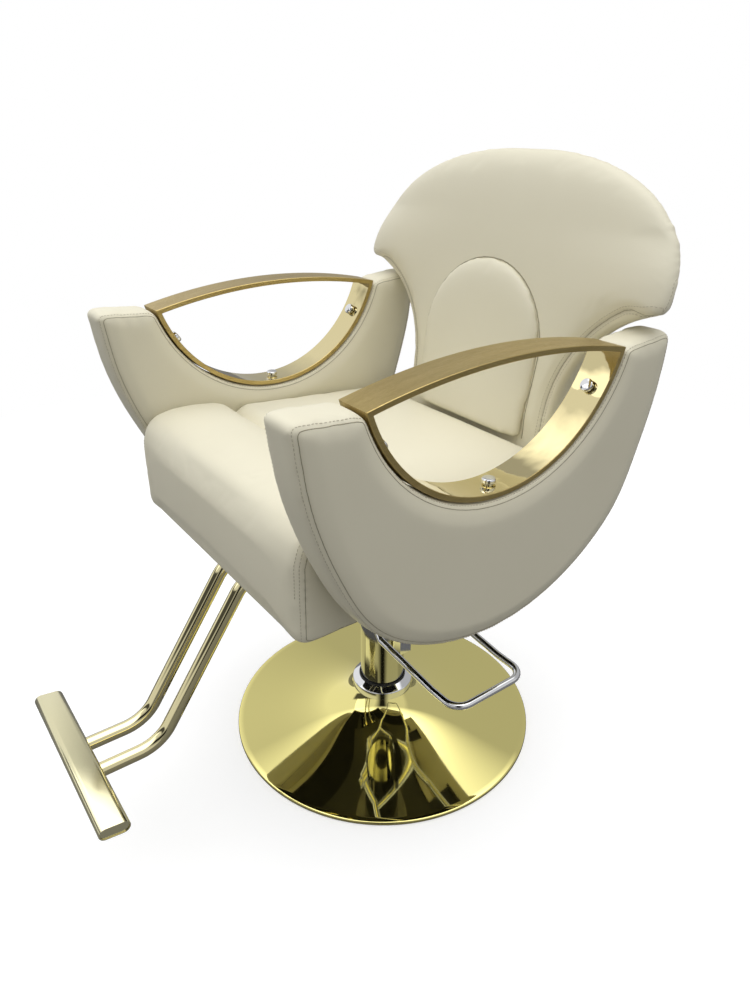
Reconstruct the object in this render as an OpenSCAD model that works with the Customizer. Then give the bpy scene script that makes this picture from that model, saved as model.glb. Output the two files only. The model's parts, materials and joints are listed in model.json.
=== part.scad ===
// Hydraulic styling chair with crescent arms and a mushroom-shaped back.
// The origin is the middle of the base on the floor, +Z is up, and the sitter faces -Y.
// The sitter's left side is +X, where the pump lever comes out.

/* [Base] */
// Diameter of the round base
base_d = 560; // [500:1:640]
// Height of the lip round the base
rim_h = 8; // [7.5:0.1:12]
// Height of the neck that carries the collar
neck_h = 67.5; // [58:0.5:72]
// Outer radius of the neck
neck_r = 46; // [45:0.5:52]
// Wall of the spun shell
shell_wall = 2; // [1:0.1:2.5]
// Thickness of the floor plate
floor_plate_t = 5.5; // [4:0.1:6]
// Depth of the rubber ring that is let into the floor plate
floor_ring_t = 3; // [2:0.1:3.5]
// Outer radius of the rubber ring
floor_ring_r = 262; // [200:1:270]
// Width of the rubber ring
floor_ring_w = 22; // [10:1:30]
// Radius of the weight disc
weight_r = 130; // [100:1:150]
// Thickness of the weight disc
weight_t = 7; // [4:0.5:8]

/* [Socket and bearing] */
// Radius of the socket's flange
socket_flange_r = 70; // [64:1:80]
// Thickness of the socket's flange
socket_flange_t = 8; // [6:0.5:9]
// Outer radius of the socket
socket_r = 36; // [33:0.5:40]
// Height of the socket's top above the floor
socket_top = 42; // [38:0.5:43]
// Wall of the bronze bush in the socket
bush_wall = 3; // [2:0.1:4]
// Thickness of the bronze thrust washer
thrust_t = 4; // [3:0.1:5]

/* [Column] */
// Outer diameter of the chrome column
column_d = 82; // [80:0.5:86]
// Wall of the column
column_wall = 3.5; // [2.5:0.1:5]
// Length of the column
column_len = 314.5; // [310:0.5:370]
// Diameter of the ram
ram_d = 38; // [34:0.5:42]
// Travel of the seat from its lowest place
lift_travel = 150; // [100:1:160]
// Length of the guide at the foot of the column
gland_len = 34; // [25:1:40]
// Height of the piston
piston_h = 24; // [18:1:28]
// Width of the groove for the piston seal
seal_w = 8; // [5:0.5:10]

/* [Collar] */
// Outer diameter of the chrome collar
collar_d = 113; // [108:1:120]
// Height of the collar
collar_h = 23; // [20:0.5:30]
// Height of the straight side below the collar's cone
collar_side_h = 15.5; // [8:0.5:17]
// Wall of the rubber gasket in the collar
gasket_wall = 2.2; // [1.5:0.1:2.5]
// Height of the rubber gasket
gasket_h = 9; // [6:0.5:12]

/* [Pump head and frame] */
// Radius of the pump head's flange
head_r = 62; // [58:1:70]
// Thickness of the pump head's flange
head_t = 18; // [14:1:20]
// Pitch circle of the four head bolts
head_pcd = 94; // [88:1:100]
// Side of the square seat plate
seat_plate_w = 236; // [220:1:260]
// Thickness of the seat plate
seat_plate_t = 6; // [4:0.5:8]
// Height of the frame rails
rail_h = 35; // [32:1:40]
// Width of the frame rails
rail_w = 30; // [25:1:32]
// Wall of the frame rails
rail_wall = 2.5; // [2:0.1:3]
// Distance between the middles of the rails
rail_pitch = 176; // [172:1:200]
// Length of the frame rails
rail_len = 400; // [360:1:410]
// Thickness of the black cloth under the seat
dust_cover_t = 1; // [0.5:0.1:1.5]

/* [Seat] */
// Width of the seat
seat_w = 504; // [460:1:560]
// Front of the seat, ahead of the column's axis
seat_front = 312; // [300:1:330]
// Back of the seat, behind the column's axis
seat_back = 162; // [155:1:165]
// Height of the seat's front above its underside
seat_front_h = 160; // [150:1:175]
// Depth of the front pad
front_pad_depth = 160; // [130:1:180]
// Height of the seat box's wall
box_h = 84; // [70:1:90]
// Wall of the seat box
box_wall = 18; // [15:1:20]
// Thickness of the seat board
board_t = 14; // [12:1:18]
// Height of the cushion's front edge above the seat's underside
cushion_front_h = 144; // [138:1:148]
// Height of the cushion's back edge above the seat's underside
cushion_back_h = 119; // [112:1:119]
// Rise of the cushion's crown
cushion_crown = 5; // [0:0.5:5]

/* [Arms] */
// Thickness of an arm pad
arm_t = 67; // [60:0.5:72]
// Radius of the arm's round underside
arm_r = 311; // [300:1:318]
// Height of the arm circle's middle above the seat's underside
arm_centre_h = 263; // [258:1:268]
// Distance of the arm's middle ahead of the column's axis
arm_ahead = 44; // [36:1:52]
// Height of the arm's tips above the seat's underside
arm_tip_h = 329; // [325:1:334]
// Radius of the arm pad's edges
arm_edge_r = 10; // [8:0.5:16]
// Half the length of the gold frame
lens_half = 213; // [200:1:222]
// Height of the gold frame's corners above the seat's underside
lens_end_h = 320; // [316:1:322]
// Drop of the frame's lower arc below its corners
lens_drop = 159; // [150:1:168]
// Rise of the frame's top bar above its corners
lens_rise = 24; // [18:1:30]
// Width of the gold frame
lens_w = 53; // [46:1:58]
// Thickness of the gold strip
lens_strip = 7.5; // [6:0.1:9]

/* [Cap bolts] */
// Diameter of a chrome cap
cap_d = 19; // [16:0.5:22]
// Height of a chrome cap
cap_h = 7; // [5:0.5:9]
// Diameter of the neck below a cap
cap_neck_d = 11; // [10:0.5:13]
// Height of the neck below a cap
cap_neck_h = 2; // [1:0.5:6]
// Diameter of the bolts' shanks
shank_d = 8; // [6:0.5:9]
// Length of a cap bolt's shank
shank_len = 40; // [25:1:50]
// Angle between the low cap bolt and its neighbours
cap_angle = 56.5; // [50:0.5:60]

/* [Back] */
// Width of the back across its wings
back_w = 666; // [640:1:700]
// Width of the back's trunk
trunk_w = 346; // [330:1:370]
// Height of the back's pivot line above the seat's underside
back_base_h = 116; // [110:1:120]
// Distance of the back's front face behind the column's axis
back_base_y = 184; // [180:1:190]
// Tilt of the back
back_tilt = 8.9; // [6:0.1:12]
// Height of the back's wing tips, along its slope
wing_s = 245; // [240:1:260]
// Height from the wing tips to the top, along the slope
crest_s = 199; // [175:1:205]
// Height where the trunk begins to flare, along the slope
flare_s = 57; // [45:1:70]
// Length of the trunk below the pivot line
trunk_down = 110; // [100:1:113]
// Thickness of the back
back_t = 84; // [70:1:92]
// Depth of the seam behind the back's front face
seam_depth = 24; // [16:1:28]
// How far the wings come forward of the back's middle
wing_bow = 17; // [0:1:24]
// Thickness of the rear cover
rear_cover_t = 7; // [5:0.5:10]
// Width of the lumbar pad
lumbar_w = 270; // [240:1:290]
// Height of the lumbar pad's top, along the slope
lumbar_top = 277; // [260:1:285]
// Height where the lumbar pad's arch begins, along the slope
lumbar_arch_h = 140; // [120:1:160]
// How far the lumbar pad stands out
lumbar_t = 20; // [12:1:20]

/* [Footrest] */
// Diameter of the footrest tubes
foot_tube_d = 21.5; // [19:0.5:25]
// Wall of the footrest tubes
foot_wall = 2; // [1.5:0.1:2.5]
// Distance between the footrest tubes
foot_pitch = 62; // [54:1:70]
// Slope of the footrest tubes
foot_angle = 55; // [52:0.5:58]
// Radius of the tubes' bends
foot_bend = 62; // [50:1:70]
// Height of the tubes' low run
foot_low_z = 192.5; // [180:0.5:205]
// Distance of the low corner ahead of the column's axis
foot_corner = 445; // [435:1:455]
// Length of the foot bar
bar_len = 314; // [290:1:340]
// Width of the foot bar
bar_w = 43; // [38:1:48]
// Height of the foot bar
bar_h = 20; // [18:0.5:24]
// Distance of the foot bar ahead of the column's axis
bar_ahead = 555.5; // [550:0.5:565]
// Height of the foot bar's middle
bar_z = 203.5; // [200:0.5:210]
// Tilt of the foot bar
bar_tilt = 8; // [0:0.5:12]
// Wall of the foot bar
bar_wall = 2; // [1.5:0.1:3]

/* [Lever] */
// Diameter of the lever's rod
lever_d = 12; // [10:0.5:13]
// Height of the lever's pivot above the column's foot
lever_pivot_h = 190.5; // [184:0.5:200]
// Reach of the lever's pedal from the column's axis
lever_len = 283; // [260:1:300]
// Distance between the middles of the lever's arms
lever_span = 144; // [136:1:156]
// Radius of the pedal's corners
lever_corner = 27; // [20:1:32]
// Height of the pedal below the pivot
lever_drop = 22; // [18:1:26]
// Travel of the lever, in degrees
lever_travel = 25; // [20:1:25]
// Diameter of the lever's pivot pins
pin_d = 8; // [6:0.5:9]

/* [Hidden] */
$fn = 96;

// How far a cut runs past what it cuts
overrun = 1;
// Gap between soft or curved faces that lie against each other
rest_gap = 0.3;
// Radial clearance of a pin or a rod that runs in a bore
run_gap = 0.06;
// Radial clearance of a bolt in its hole
bolt_gap = 0.3;
// Clearance of the column in the gasket
slide_gap = 0.4;

// Radii and heights of the base and column, from the floor up
base_r = base_d / 2;
column_r = column_d / 2;
bore_r = column_r - column_wall;
ram_r = ram_d / 2;
socket_z = floor_plate_t + rest_gap + weight_t;
thrust_z = socket_top;
shoulder_z = thrust_z + thrust_t + rest_gap;
shoulder_t = 5.5;
shoulder_step = 11;
shoulder_r = ram_r + shoulder_step;
column_gap = 4;
column_z = neck_h + column_gap;
column_top = column_z + column_len;
ram_gap = 2;
ram_foot = socket_z + ram_gap;
ram_nose = 6;
head_plug_h = 14;
piston_place_share = 0.55;
column_free = column_len - gland_len - lift_travel - piston_h - ram_nose - head_plug_h;
piston_z = column_z + gland_len + lift_travel + column_free * piston_place_share;
seat_plate_z = column_top + head_t;
rail_z = seat_plate_z + seat_plate_t;
dust_z = rail_z + rail_h;
seat_z = dust_z + dust_cover_t;

// Unit shape of the trumpet: height falls with one over the radius
function trumpet(r, r0, r1, h0, h1) =
    let (k = (h0 - h1) / (1 / r0 - 1 / r1)) k / r + h1 - k / r1;
trumpet_steps = 18;

// Socket flange bolts
socket_bolt_r = 56;
socket_bolt_d = 8;
socket_bolt_head = 5;
washer_share = 1.8;

// Cut on the rim of a turned piece
edge_cut = 1;

// Seat, from its underside up
board_gap = rest_gap;
board_setback = 17;
board_front = seat_front - board_setback;
rail_inset = 2;
cushion_tail = 14;
board_back = seat_back - box_wall - rest_gap;
board_w = seat_w - 2 * box_wall - 2 * rest_gap;
pad_back = seat_front - front_pad_depth;
foam_inset = 10;
fixing_h = 44;
fixing_z = seat_z + fixing_h;
fixing_reach = 26;
fixing_head_d = 15;
fixing_head_h = 6;
fixing_shares = [-0.3, 0.13, 0.57];

// Arm circle and the two circles of the gold lens
arm_x = seat_w / 2 + rest_gap + arm_t / 2;
arm_y = -arm_ahead;
arm_z = seat_z + arm_centre_h;
arm_tip_z = seat_z + arm_tip_h;
lens_end_z = seat_z + lens_end_h;
low_r = (pow(lens_half, 2) + pow(lens_drop, 2)) / (2 * lens_drop);
low_z = lens_end_z - lens_drop + low_r;
top_r = (pow(lens_half, 2) + pow(lens_rise, 2)) / (2 * lens_rise);
top_z = lens_end_z + lens_rise - top_r;
lens_half_angle = asin(lens_half / low_r);
arm_stations = 26;

// Lever and pump, from the pivot
pivot_z = column_z + lever_pivot_h;
lever_r = lever_d / 2;
pin_r = pin_d / 2;
bracket_wall = 6;
bracket_h = 28;
hub_r = 11;
hub_len = 13;
hub_gap = 1;
hub_in = column_r + bracket_wall + hub_gap;
hub_mid = hub_in + hub_len / 2;
lever_bend_1 = 48;
lever_bend_2 = 92;
pedal_len = 58;
lever_kink = lever_len - pedal_len;
pedal_z = pivot_z - lever_drop;
cam_x = 58;
cam_r = 5;
drop_1 = lever_drop / 5;
drop_2 = lever_drop / 2.75;
cam_drop = drop_1 + (drop_2 - drop_1) * (cam_x - lever_bend_1) / (lever_bend_2 - lever_bend_1);
cam_over = 4;
cam_z = pivot_z - cam_drop;
nut_d = 15;
nut_t = 5;
plunger_r = 6;
plunger_len = 40;
plunger_top = cam_z - cam_r - rest_gap;
plunger_show = 27;
pump_block_w = 24;
pump_wall = 11;
pump_block_far = cam_x + pump_wall;
pump_block_top = plunger_top - plunger_show;
pump_block_h = 46;
pump_bore_depth = 42;

// Back frame: origin on its front face at the pivot line, d runs to the rear, s up the slope
back_z = seat_z + back_base_h;
back_low_s = -trunk_down;
wing_inset = 80;
trunk_inset = 14;
crest_power = 2.45;
waist_power = 0.588;
edge_power = 3.8;
lumbar_low_s = 7;
lumbar_fall_share = 0.19;
lumbar_low_share = 0.955;
bracket_x = 40;
bracket_w = 40;
bracket_t = 6;
bracket_back_d = 44;
bracket_up_s = 30;
bracket_sink = 6;
bracket_front_y = 40;
screw_d = 6;
screw_head_d = 11;
screw_head_h = 3;
screw_depth = 9;
screw_spare = 1;

// Footrest
foot_r = foot_tube_d / 2;
foot_plate_t = 4;
foot_plate_w = 132;
foot_plate_front = 232;
foot_plate_len = 112;
foot_high_z = dust_z - foot_plate_t - foot_r;
foot_run = (foot_high_z - foot_low_z) / tan(foot_angle);
foot_tan = foot_bend * tan(foot_angle / 2);
foot_slant = (foot_high_z - foot_low_z) / sin(foot_angle) - 2 * foot_tan;
foot_high_y = foot_run - foot_corner;
foot_end_inset = 12;
foot_end_y = foot_plate_len - foot_plate_front - foot_end_inset;
bar_end_t = 3;

// A bend's tube is this much fuller than the straight tubes it joins, and runs on by this angle
bend_swell = 0.1;
bend_over = 2;
joint_swell = 0.5;

// Closed rings of points joined into one solid, with a fan of triangles at each end
module loft(rings) {
    n = len(rings[0]);
    m = len(rings);
    mids = [for (r = [rings[0], rings[m - 1]]) [for (a = [0:2]) sum_axis(r, a) / n]];
    sides = [for (k = [0:m - 2]) for (i = [0:n - 1]) let (j = (i + 1) % n)
        each [[k * n + i, (k + 1) * n + i, k * n + j], [k * n + j, (k + 1) * n + i, (k + 1) * n + j]]];
    first = [for (i = [0:n - 1]) [m * n, i, (i + 1) % n]];
    last = [for (i = [0:n - 1]) [m * n + 1, (m - 1) * n + (i + 1) % n, (m - 1) * n + i]];
    polyhedron(points = concat([for (r = rings) each r], mids), faces = concat(sides, first, last));
}

function sum_axis(points, a, i = 0) =
    i == len(points) ? 0 : points[i][a] + sum_axis(points, a, i + 1);

// Straight round rod between two points
module rod(p, q, r) {
    v = q - p;
    translate(p) rotate([0, acos(v[2] / norm(v)), atan2(v[1], v[0])]) cylinder(h = norm(v), r = r);
}

// Round bend about the z axis, from the x axis through an angle
module bend(turn_r, angle, r) {
    rotate([0, 0, -bend_over]) rotate_extrude(angle = angle + 2 * bend_over)
        translate([turn_r, 0]) circle(r = r);
}

// Round-headed bolt along +Z, its shank below the zero plane
module bolt(d, length, head_d, head_h) {
    translate([0, 0, -length]) cylinder(h = length, d = d);
    cylinder(h = head_h, d = head_d, $fn = 6);
}

// A part with its mirror image across the middle of the chair
module both_sides() {
    children();
    mirror([1, 0, 0]) children();
}

// Steel plate that the chair stands on, with a groove for the rubber ring
module floor_plate() {
    color("dimgray") difference() {
        cylinder(h = floor_plate_t, r = base_r - shell_wall - rest_gap, $fn = 180);
        translate([0, 0, -overrun]) difference() {
            cylinder(h = floor_ring_t + overrun, r = floor_ring_r, $fn = 180);
            translate([0, 0, -overrun])
                cylinder(h = floor_ring_t + 3 * overrun, r = floor_ring_r - floor_ring_w, $fn = 180);
        }
    }
}

module floor_ring() {
    color("black") difference() {
        cylinder(h = floor_ring_t, r = floor_ring_r - rest_gap, $fn = 180);
        translate([0, 0, -overrun])
            cylinder(h = floor_ring_t + 2 * overrun, r = floor_ring_r - floor_ring_w + rest_gap, $fn = 180);
    }
}

module weight_disc() {
    color("dimgray") translate([0, 0, floor_plate_t]) cylinder(h = weight_t, r = weight_r, $fn = 120);
}

// Spun trumpet with a rolled lip, gold plated
module base_shell() {
    outer = [for (i = [0:trumpet_steps])
        let (r = neck_r * pow(base_r / neck_r, i / trumpet_steps))
        [r, trumpet(r, neck_r, base_r, neck_h, rim_h)]];
    inner = [for (i = [trumpet_steps:-1:0])
        let (r = neck_r * pow((base_r - shell_wall) / neck_r, i / trumpet_steps))
        [r - (i == 0 ? shell_wall : 0), trumpet(r, neck_r, base_r, neck_h, rim_h) - shell_wall]];
    lip = [[base_r, rim_h / 8], [base_r - shell_wall, rim_h / 8]];
    color("gold") rotate_extrude($fn = 180)
        polygon(concat([[neck_r - shell_wall, neck_h]], outer, lip, inner));
}

module socket_bolt_places() {
    for (a = [45:90:315]) rotate([0, 0, a]) translate([socket_bolt_r, 0, 0]) children();
}

module base_socket() {
    color("slategray") difference() {
        translate([0, 0, floor_plate_t + weight_t]) union() {
            cylinder(h = socket_flange_t, r = socket_flange_r);
            cylinder(h = socket_top - floor_plate_t - weight_t, r = socket_r);
        }
        translate([0, 0, socket_z]) cylinder(h = socket_top, r = ram_r + bush_wall);
        socket_bolt_places() cylinder(h = socket_top, d = socket_bolt_d + 2 * bolt_gap);
    }
}

module socket_bolts() {
    flange_z = floor_plate_t + weight_t + socket_flange_t;
    color("silver") socket_bolt_places() translate([0, 0, flange_z])
        bolt(socket_bolt_d, socket_flange_t, socket_bolt_d * washer_share, socket_bolt_head);
}

module socket_bush() {
    color("peru") difference() {
        translate([0, 0, ram_foot]) cylinder(h = socket_top - ram_foot, r = ram_r + bush_wall - run_gap);
        translate([0, 0, ram_foot - overrun]) cylinder(h = socket_top, r = ram_r + run_gap);
    }
}

module thrust_washer() {
    color("peru") translate([0, 0, thrust_z]) difference() {
        cylinder(h = thrust_t, r = shoulder_r);
        translate([0, 0, -overrun]) cylinder(h = thrust_t + 2 * overrun, r = ram_r + run_gap);
    }
}

// Chrome ring whose top slopes up to the column
module base_collar() {
    collar_r = collar_d / 2;
    hole_r = column_r + slide_gap + gasket_wall;
    color("silver") translate([0, 0, neck_h]) difference() {
        rotate_extrude() polygon([[hole_r, 0], [collar_r - edge_cut, 0], [collar_r, edge_cut],
            [collar_r, collar_side_h], [hole_r + edge_cut, collar_h], [hole_r, collar_h]]);
        translate([0, 0, collar_h - gasket_h]) cylinder(h = gasket_h + overrun, r = hole_r);
    }
}

module collar_gasket() {
    color("black") translate([0, 0, neck_h + collar_h - gasket_h]) difference() {
        cylinder(h = gasket_h, r = column_r + slide_gap + gasket_wall - run_gap);
        translate([0, 0, -overrun]) cylinder(h = gasket_h + 2 * overrun, r = column_r + slide_gap);
    }
}

// Fixed ram with a journal in the socket and a shoulder on the thrust washer
module ram_rod() {
    color("silver") {
        translate([0, 0, ram_foot]) cylinder(h = piston_z + piston_h + ram_nose - ram_foot, r = ram_r);
        translate([0, 0, shoulder_z]) cylinder(h = shoulder_t, r = shoulder_r);
    }
}

module ram_piston() {
    color("slategray") translate([0, 0, piston_z]) difference() {
        cylinder(h = piston_h, r = bore_r - rest_gap);
        translate([0, 0, -overrun]) cylinder(h = piston_h + 2 * overrun, r = ram_r + run_gap);
        translate([0, 0, (piston_h - seal_w) / 2]) difference() {
            cylinder(h = seal_w, r = bore_r + overrun);
            translate([0, 0, -overrun]) cylinder(h = seal_w + 2 * overrun, r = bore_r - seal_w / 2);
        }
    }
}

module piston_seal() {
    color("black") translate([0, 0, piston_z + (piston_h - seal_w) / 2 + run_gap]) difference() {
        cylinder(h = seal_w - 2 * run_gap, r = bore_r - rest_gap);
        translate([0, 0, -overrun]) cylinder(h = seal_w + 2 * overrun, r = bore_r - seal_w / 2 + run_gap);
    }
}

module column_tube() {
    color("silver") translate([0, 0, column_z]) difference() {
        cylinder(h = column_len, r = column_r);
        translate([0, 0, -overrun]) cylinder(h = column_len + 2 * overrun, r = bore_r);
    }
}

module column_guide() {
    color("peru") translate([0, 0, column_z]) difference() {
        cylinder(h = gland_len, r = bore_r - run_gap);
        translate([0, 0, -overrun]) cylinder(h = gland_len + 2 * overrun, r = ram_r + run_gap);
    }
}

module head_bolt_places() {
    for (a = [45:90:315]) rotate([0, 0, a]) translate([head_pcd / 2, 0, 0]) children();
}

// Head that closes the column and carries the seat plate
module pump_head() {
    color("silver") difference() {
        union() {
            translate([0, 0, column_top]) cylinder(h = head_t, r = head_r);
            translate([0, 0, column_top - head_plug_h]) cylinder(h = head_plug_h, r = bore_r - run_gap);
        }
        head_bolt_places() translate([0, 0, column_top + head_t / 3])
            cylinder(h = head_t, d = socket_bolt_d + 2 * run_gap);
    }
}

// Split ring round the column with a stub pin on each side
module lever_bracket() {
    color("silver") {
        translate([0, 0, pivot_z - bracket_h / 2]) difference() {
            cylinder(h = bracket_h, r = column_r + bracket_wall);
            translate([0, 0, -overrun]) cylinder(h = bracket_h + 2 * overrun, r = column_r + run_gap);
        }
        for (side = [-1, 1]) rod([0, side * (column_r + bracket_wall / 2), pivot_z],
            [0, side * (hub_in + hub_len + nut_t), pivot_z], pin_r);
    }
}

module pump_block() {
    block_z = pump_block_top - pump_block_h;
    color("slategray") difference() {
        translate([0, -pump_block_w / 2, block_z]) cube([pump_block_far, pump_block_w, pump_block_h]);
        translate([0, 0, block_z - overrun]) cylinder(h = pump_block_h + 2 * overrun, r = column_r + run_gap);
        translate([cam_x, 0, pump_block_top - pump_bore_depth])
            cylinder(h = pump_bore_depth + overrun, r = plunger_r + run_gap);
    }
}

module pump_plunger() {
    color("silver") translate([cam_x, 0, plunger_top - plunger_len]) cylinder(h = plunger_len, r = plunger_r);
}

// U-shaped rod: two arms that spread, kink level and meet in the pedal, with a bored hub on each arm
module lever_rod() {
    half = lever_span / 2;
    corner_x = lever_len - lever_corner;
    color("silver") difference() {
        union() {
            for (side = [-1, 1]) {
                route = [[hub_r / 2, side * hub_mid, pivot_z],
                    [lever_bend_1, side * hub_mid, pivot_z - drop_1],
                    [lever_bend_2, side * half, pivot_z - drop_2],
                    [lever_kink, side * half, pedal_z], [corner_x, side * half, pedal_z]];
                for (i = [0:len(route) - 2]) rod(route[i], route[i + 1], lever_r);
                for (i = [1:len(route) - 2]) translate(route[i]) rotate([0, 90, 0])
                    sphere(r = lever_r + joint_swell);
                translate([corner_x, side * (half - lever_corner), pedal_z])
                    rotate([0, 0, side < 0 ? -90 : 0]) bend(lever_corner, 90, lever_r + bend_swell);
                rod([0, side * hub_in, pivot_z], [0, side * (hub_in + hub_len), pivot_z], hub_r);
            }
            rod([lever_len, lever_corner - half, pedal_z],
                [lever_len, half - lever_corner, pedal_z], lever_r);
            rod([cam_x, -hub_mid - cam_over, cam_z], [cam_x, hub_mid + cam_over, cam_z], cam_r);
        }
        for (side = [-1, 1]) rod([0, side * (hub_in - overrun), pivot_z],
            [0, side * (hub_in + hub_len + overrun), pivot_z], pin_r + run_gap);
    }
}

module lever_nuts() {
    color("silver") for (side = [-1, 1]) difference() {
        rod([0, side * (hub_in + hub_len + rest_gap), pivot_z],
            [0, side * (hub_in + hub_len + rest_gap + nut_t), pivot_z], nut_d / 2);
        rod([0, side * hub_in, pivot_z], [0, side * (hub_in + hub_len + nut_t + run_gap), pivot_z],
            pin_r + run_gap);
    }
}

module seat_plate() {
    color("dimgray") difference() {
        translate([-seat_plate_w / 2, -seat_plate_w / 2, seat_plate_z])
            cube([seat_plate_w, seat_plate_w, seat_plate_t]);
        head_bolt_places() translate([0, 0, seat_plate_z - overrun])
            cylinder(h = seat_plate_t + 2 * overrun, d = socket_bolt_d + 2 * bolt_gap);
    }
}

module head_bolts() {
    color("silver") head_bolt_places() translate([0, 0, seat_plate_z + seat_plate_t])
        bolt(socket_bolt_d, seat_plate_t + head_t / 2, socket_bolt_d * washer_share, socket_bolt_head);
}

// Two box-section rails under the seat
module frame_rails() {
    rail_front = seat_back - rail_inset - rail_len;
    color("dimgray") both_sides() translate([(rail_pitch - rail_w) / 2, rail_front, rail_z]) difference() {
        cube([rail_w, rail_len, rail_h]);
        translate([rail_wall, -overrun, rail_wall])
            cube([rail_w - 2 * rail_wall, rail_len + 2 * overrun, rail_h - 2 * rail_wall]);
    }
}

module dust_cover() {
    color("black") difference() {
        translate([-board_w / 2, -board_front, dust_z])
            cube([board_w, board_front + board_back, dust_cover_t]);
        bracket_screw_places() screw_hole();
        foot_screw_places() screw_hole();
    }
}

// Hole through the black cloth below a screw's place
module screw_hole() {
    translate([0, 0, -dust_cover_t - overrun])
        cylinder(h = dust_cover_t + 2 * overrun, d = screw_d + 2 * bolt_gap);
}

module seat_board() {
    color("burlywood") difference() {
        translate([-board_w / 2, -board_front, seat_z]) cube([board_w, board_front + board_back, board_t]);
        bracket_screw_places() cylinder(h = screw_depth, d = screw_d);
        foot_screw_places() cylinder(h = screw_depth, d = screw_d);
    }
}

module fixing_places() {
    for (share = fixing_shares) translate([0, arm_y + share * lens_half, fixing_z]) children();
}

// Upholstered frame of the seat behind the front pad
module seat_box() {
    color("antiquewhite") difference() {
        translate([-seat_w / 2, -pad_back + rest_gap, seat_z])
            cube([seat_w, pad_back + seat_back - rest_gap, box_h]);
        translate([-seat_w / 2 + box_wall, -pad_back - overrun, seat_z - overrun])
            cube([seat_w - 2 * box_wall, pad_back + seat_back - box_wall + overrun, box_h + 2 * overrun]);
        fixing_places() rotate([0, 90, 0])
            cylinder(h = seat_w + 2 * overrun, d = shank_d + 2 * bolt_gap, center = true);
    }
}

module seat_foam() {
    foam_w = board_w - 2 * foam_inset;
    color("khaki") translate([-foam_w / 2, -pad_back + rest_gap, seat_z + board_t])
        cube([foam_w, pad_back + board_back - rest_gap, box_h - board_t]);
}

// Bolts from inside the seat box into the arm pads
module arm_fixings() {
    color("silver") both_sides() fixing_places() translate([seat_w / 2 - box_wall, 0, 0]) rotate([0, -90, 0])
        bolt(shank_d, box_wall + fixing_reach, fixing_head_d, fixing_head_h);
}

// Outline of the front pad seen from the side: [forward, up] as shares of its depth and height
front_pad_shares = [[0, 0], [0.5, 0], [0.95, 0], [0.985, 0.02], [1, 0.07], [1, 0.2], [1.01, 0.4],
    [1.01, 0.6], [0.995, 0.76], [0.96, 0.87], [0.9, 0.94], [0.81, 0.985], [0.7, 1], [0.55, 1.005],
    [0.38, 0.995], [0.22, 0.965], [0.1, 0.925], [0.03, 0.885], [0, 0.84], [0, 0.5]];

// Stations across the front pad: [place across the half width, inset] as shares
pad_end_shares = [[1, 0.075], [0.994, 0.035], [0.98, 0.012], [0.95, 0]];

module seat_front_pad() {
    half = seat_w / 2;
    mids = [0.66, 0.33, 0];
    left = concat([for (e = pad_end_shares) [-e[0], e[1]]], [for (m = mids) [-m, 0]]);
    right = concat([for (i = [len(mids) - 2:-1:0]) [mids[i], 0]],
        [for (i = [len(pad_end_shares) - 1:-1:0]) pad_end_shares[i]]);
    rings = [for (st = concat(left, right)) [for (p = front_pad_shares)
        let (shrink = 1 - st[1], crown = p[1] > 0.9 ? cushion_crown * (1 - st[0] * st[0]) : 0)
        [-st[0] * half, -pad_back - front_pad_depth * (p[0] * shrink),
            seat_z + seat_front_h * p[1] * shrink + crown]]];
    color("antiquewhite") difference() {
        loft(rings);
        translate([-board_w / 2 - board_gap, -board_front - board_gap, seat_z - overrun])
            cube([board_w + 2 * board_gap, board_front, board_t + board_gap + overrun]);
    }
}

// Outline across the cushion: [place across the half width, height] as shares
cushion_shares = [[-1, 0], [1, 0], [1.0, 0.45], [0.998, 0.7], [0.985, 0.88], [0.95, 0.97], [0.85, 1],
    [0.6, 1], [0.3, 1], [0, 1], [-0.3, 1], [-0.6, 1], [-0.85, 1], [-0.95, 0.97], [-0.985, 0.88],
    [-0.998, 0.7], [-1.0, 0.45]];
// Stations along the cushion: [place from front to back, drop of its top] as shares
cushion_station_shares = [[0, 0.32], [0.012, 0.15], [0.04, 0.05], [0.09, 0.01], [0.16, 0], [0.33, 0],
    [0.5, 0], [0.68, 0], [0.84, 0], [0.93, 0.02], [0.98, 0.09], [1, 0.2]];

module seat_cushion() {
    front_y = -pad_back + rest_gap;
    long = seat_back + cushion_tail - front_y;
    low = seat_z + box_h + rest_gap;
    rings = [for (st = cushion_station_shares)
        let (top = seat_z + cushion_front_h + (cushion_back_h - cushion_front_h) * st[0],
            bulge = cushion_crown * (1 - st[0]))
        [for (p = cushion_shares)
            [-p[0] * seat_w / 2, front_y + long * st[0],
                low + (top - low) * p[1] * (1 - st[1] * p[1])
                    + (p[1] > 0.9 ? bulge * (1 - p[0] * p[0]) : 0)]]];
    color("antiquewhite") loft(rings);
}

// Outer edge of the arm pad: straight down the front tip, round the circle, up the rear tip
function arm_outer(t) =
    let (rise = arm_tip_z - arm_z, straight = rise / arm_r, turn = PI, whole = turn + 2 * straight,
        u = t * whole)
    u < straight ? [arm_y - arm_r, arm_tip_z - u * arm_r] :
    u > straight + turn ? [arm_y + arm_r, arm_z + (u - straight - turn) * arm_r] :
    let (a = (u - straight) * 180 / PI - 90) [arm_y + arm_r * sin(a), arm_z - arm_r * cos(a)];

// Inner edge of the arm pad, against the gold frame
function arm_inner(t) =
    let (r = low_r + rest_gap, a = (2 * t - 1) * lens_half_angle)
    [arm_y + r * sin(a), low_z - r * cos(a)];

// Corner points of a rounded edge: [x share, in share] of the edge radius
arm_corner_steps = 3;

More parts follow.
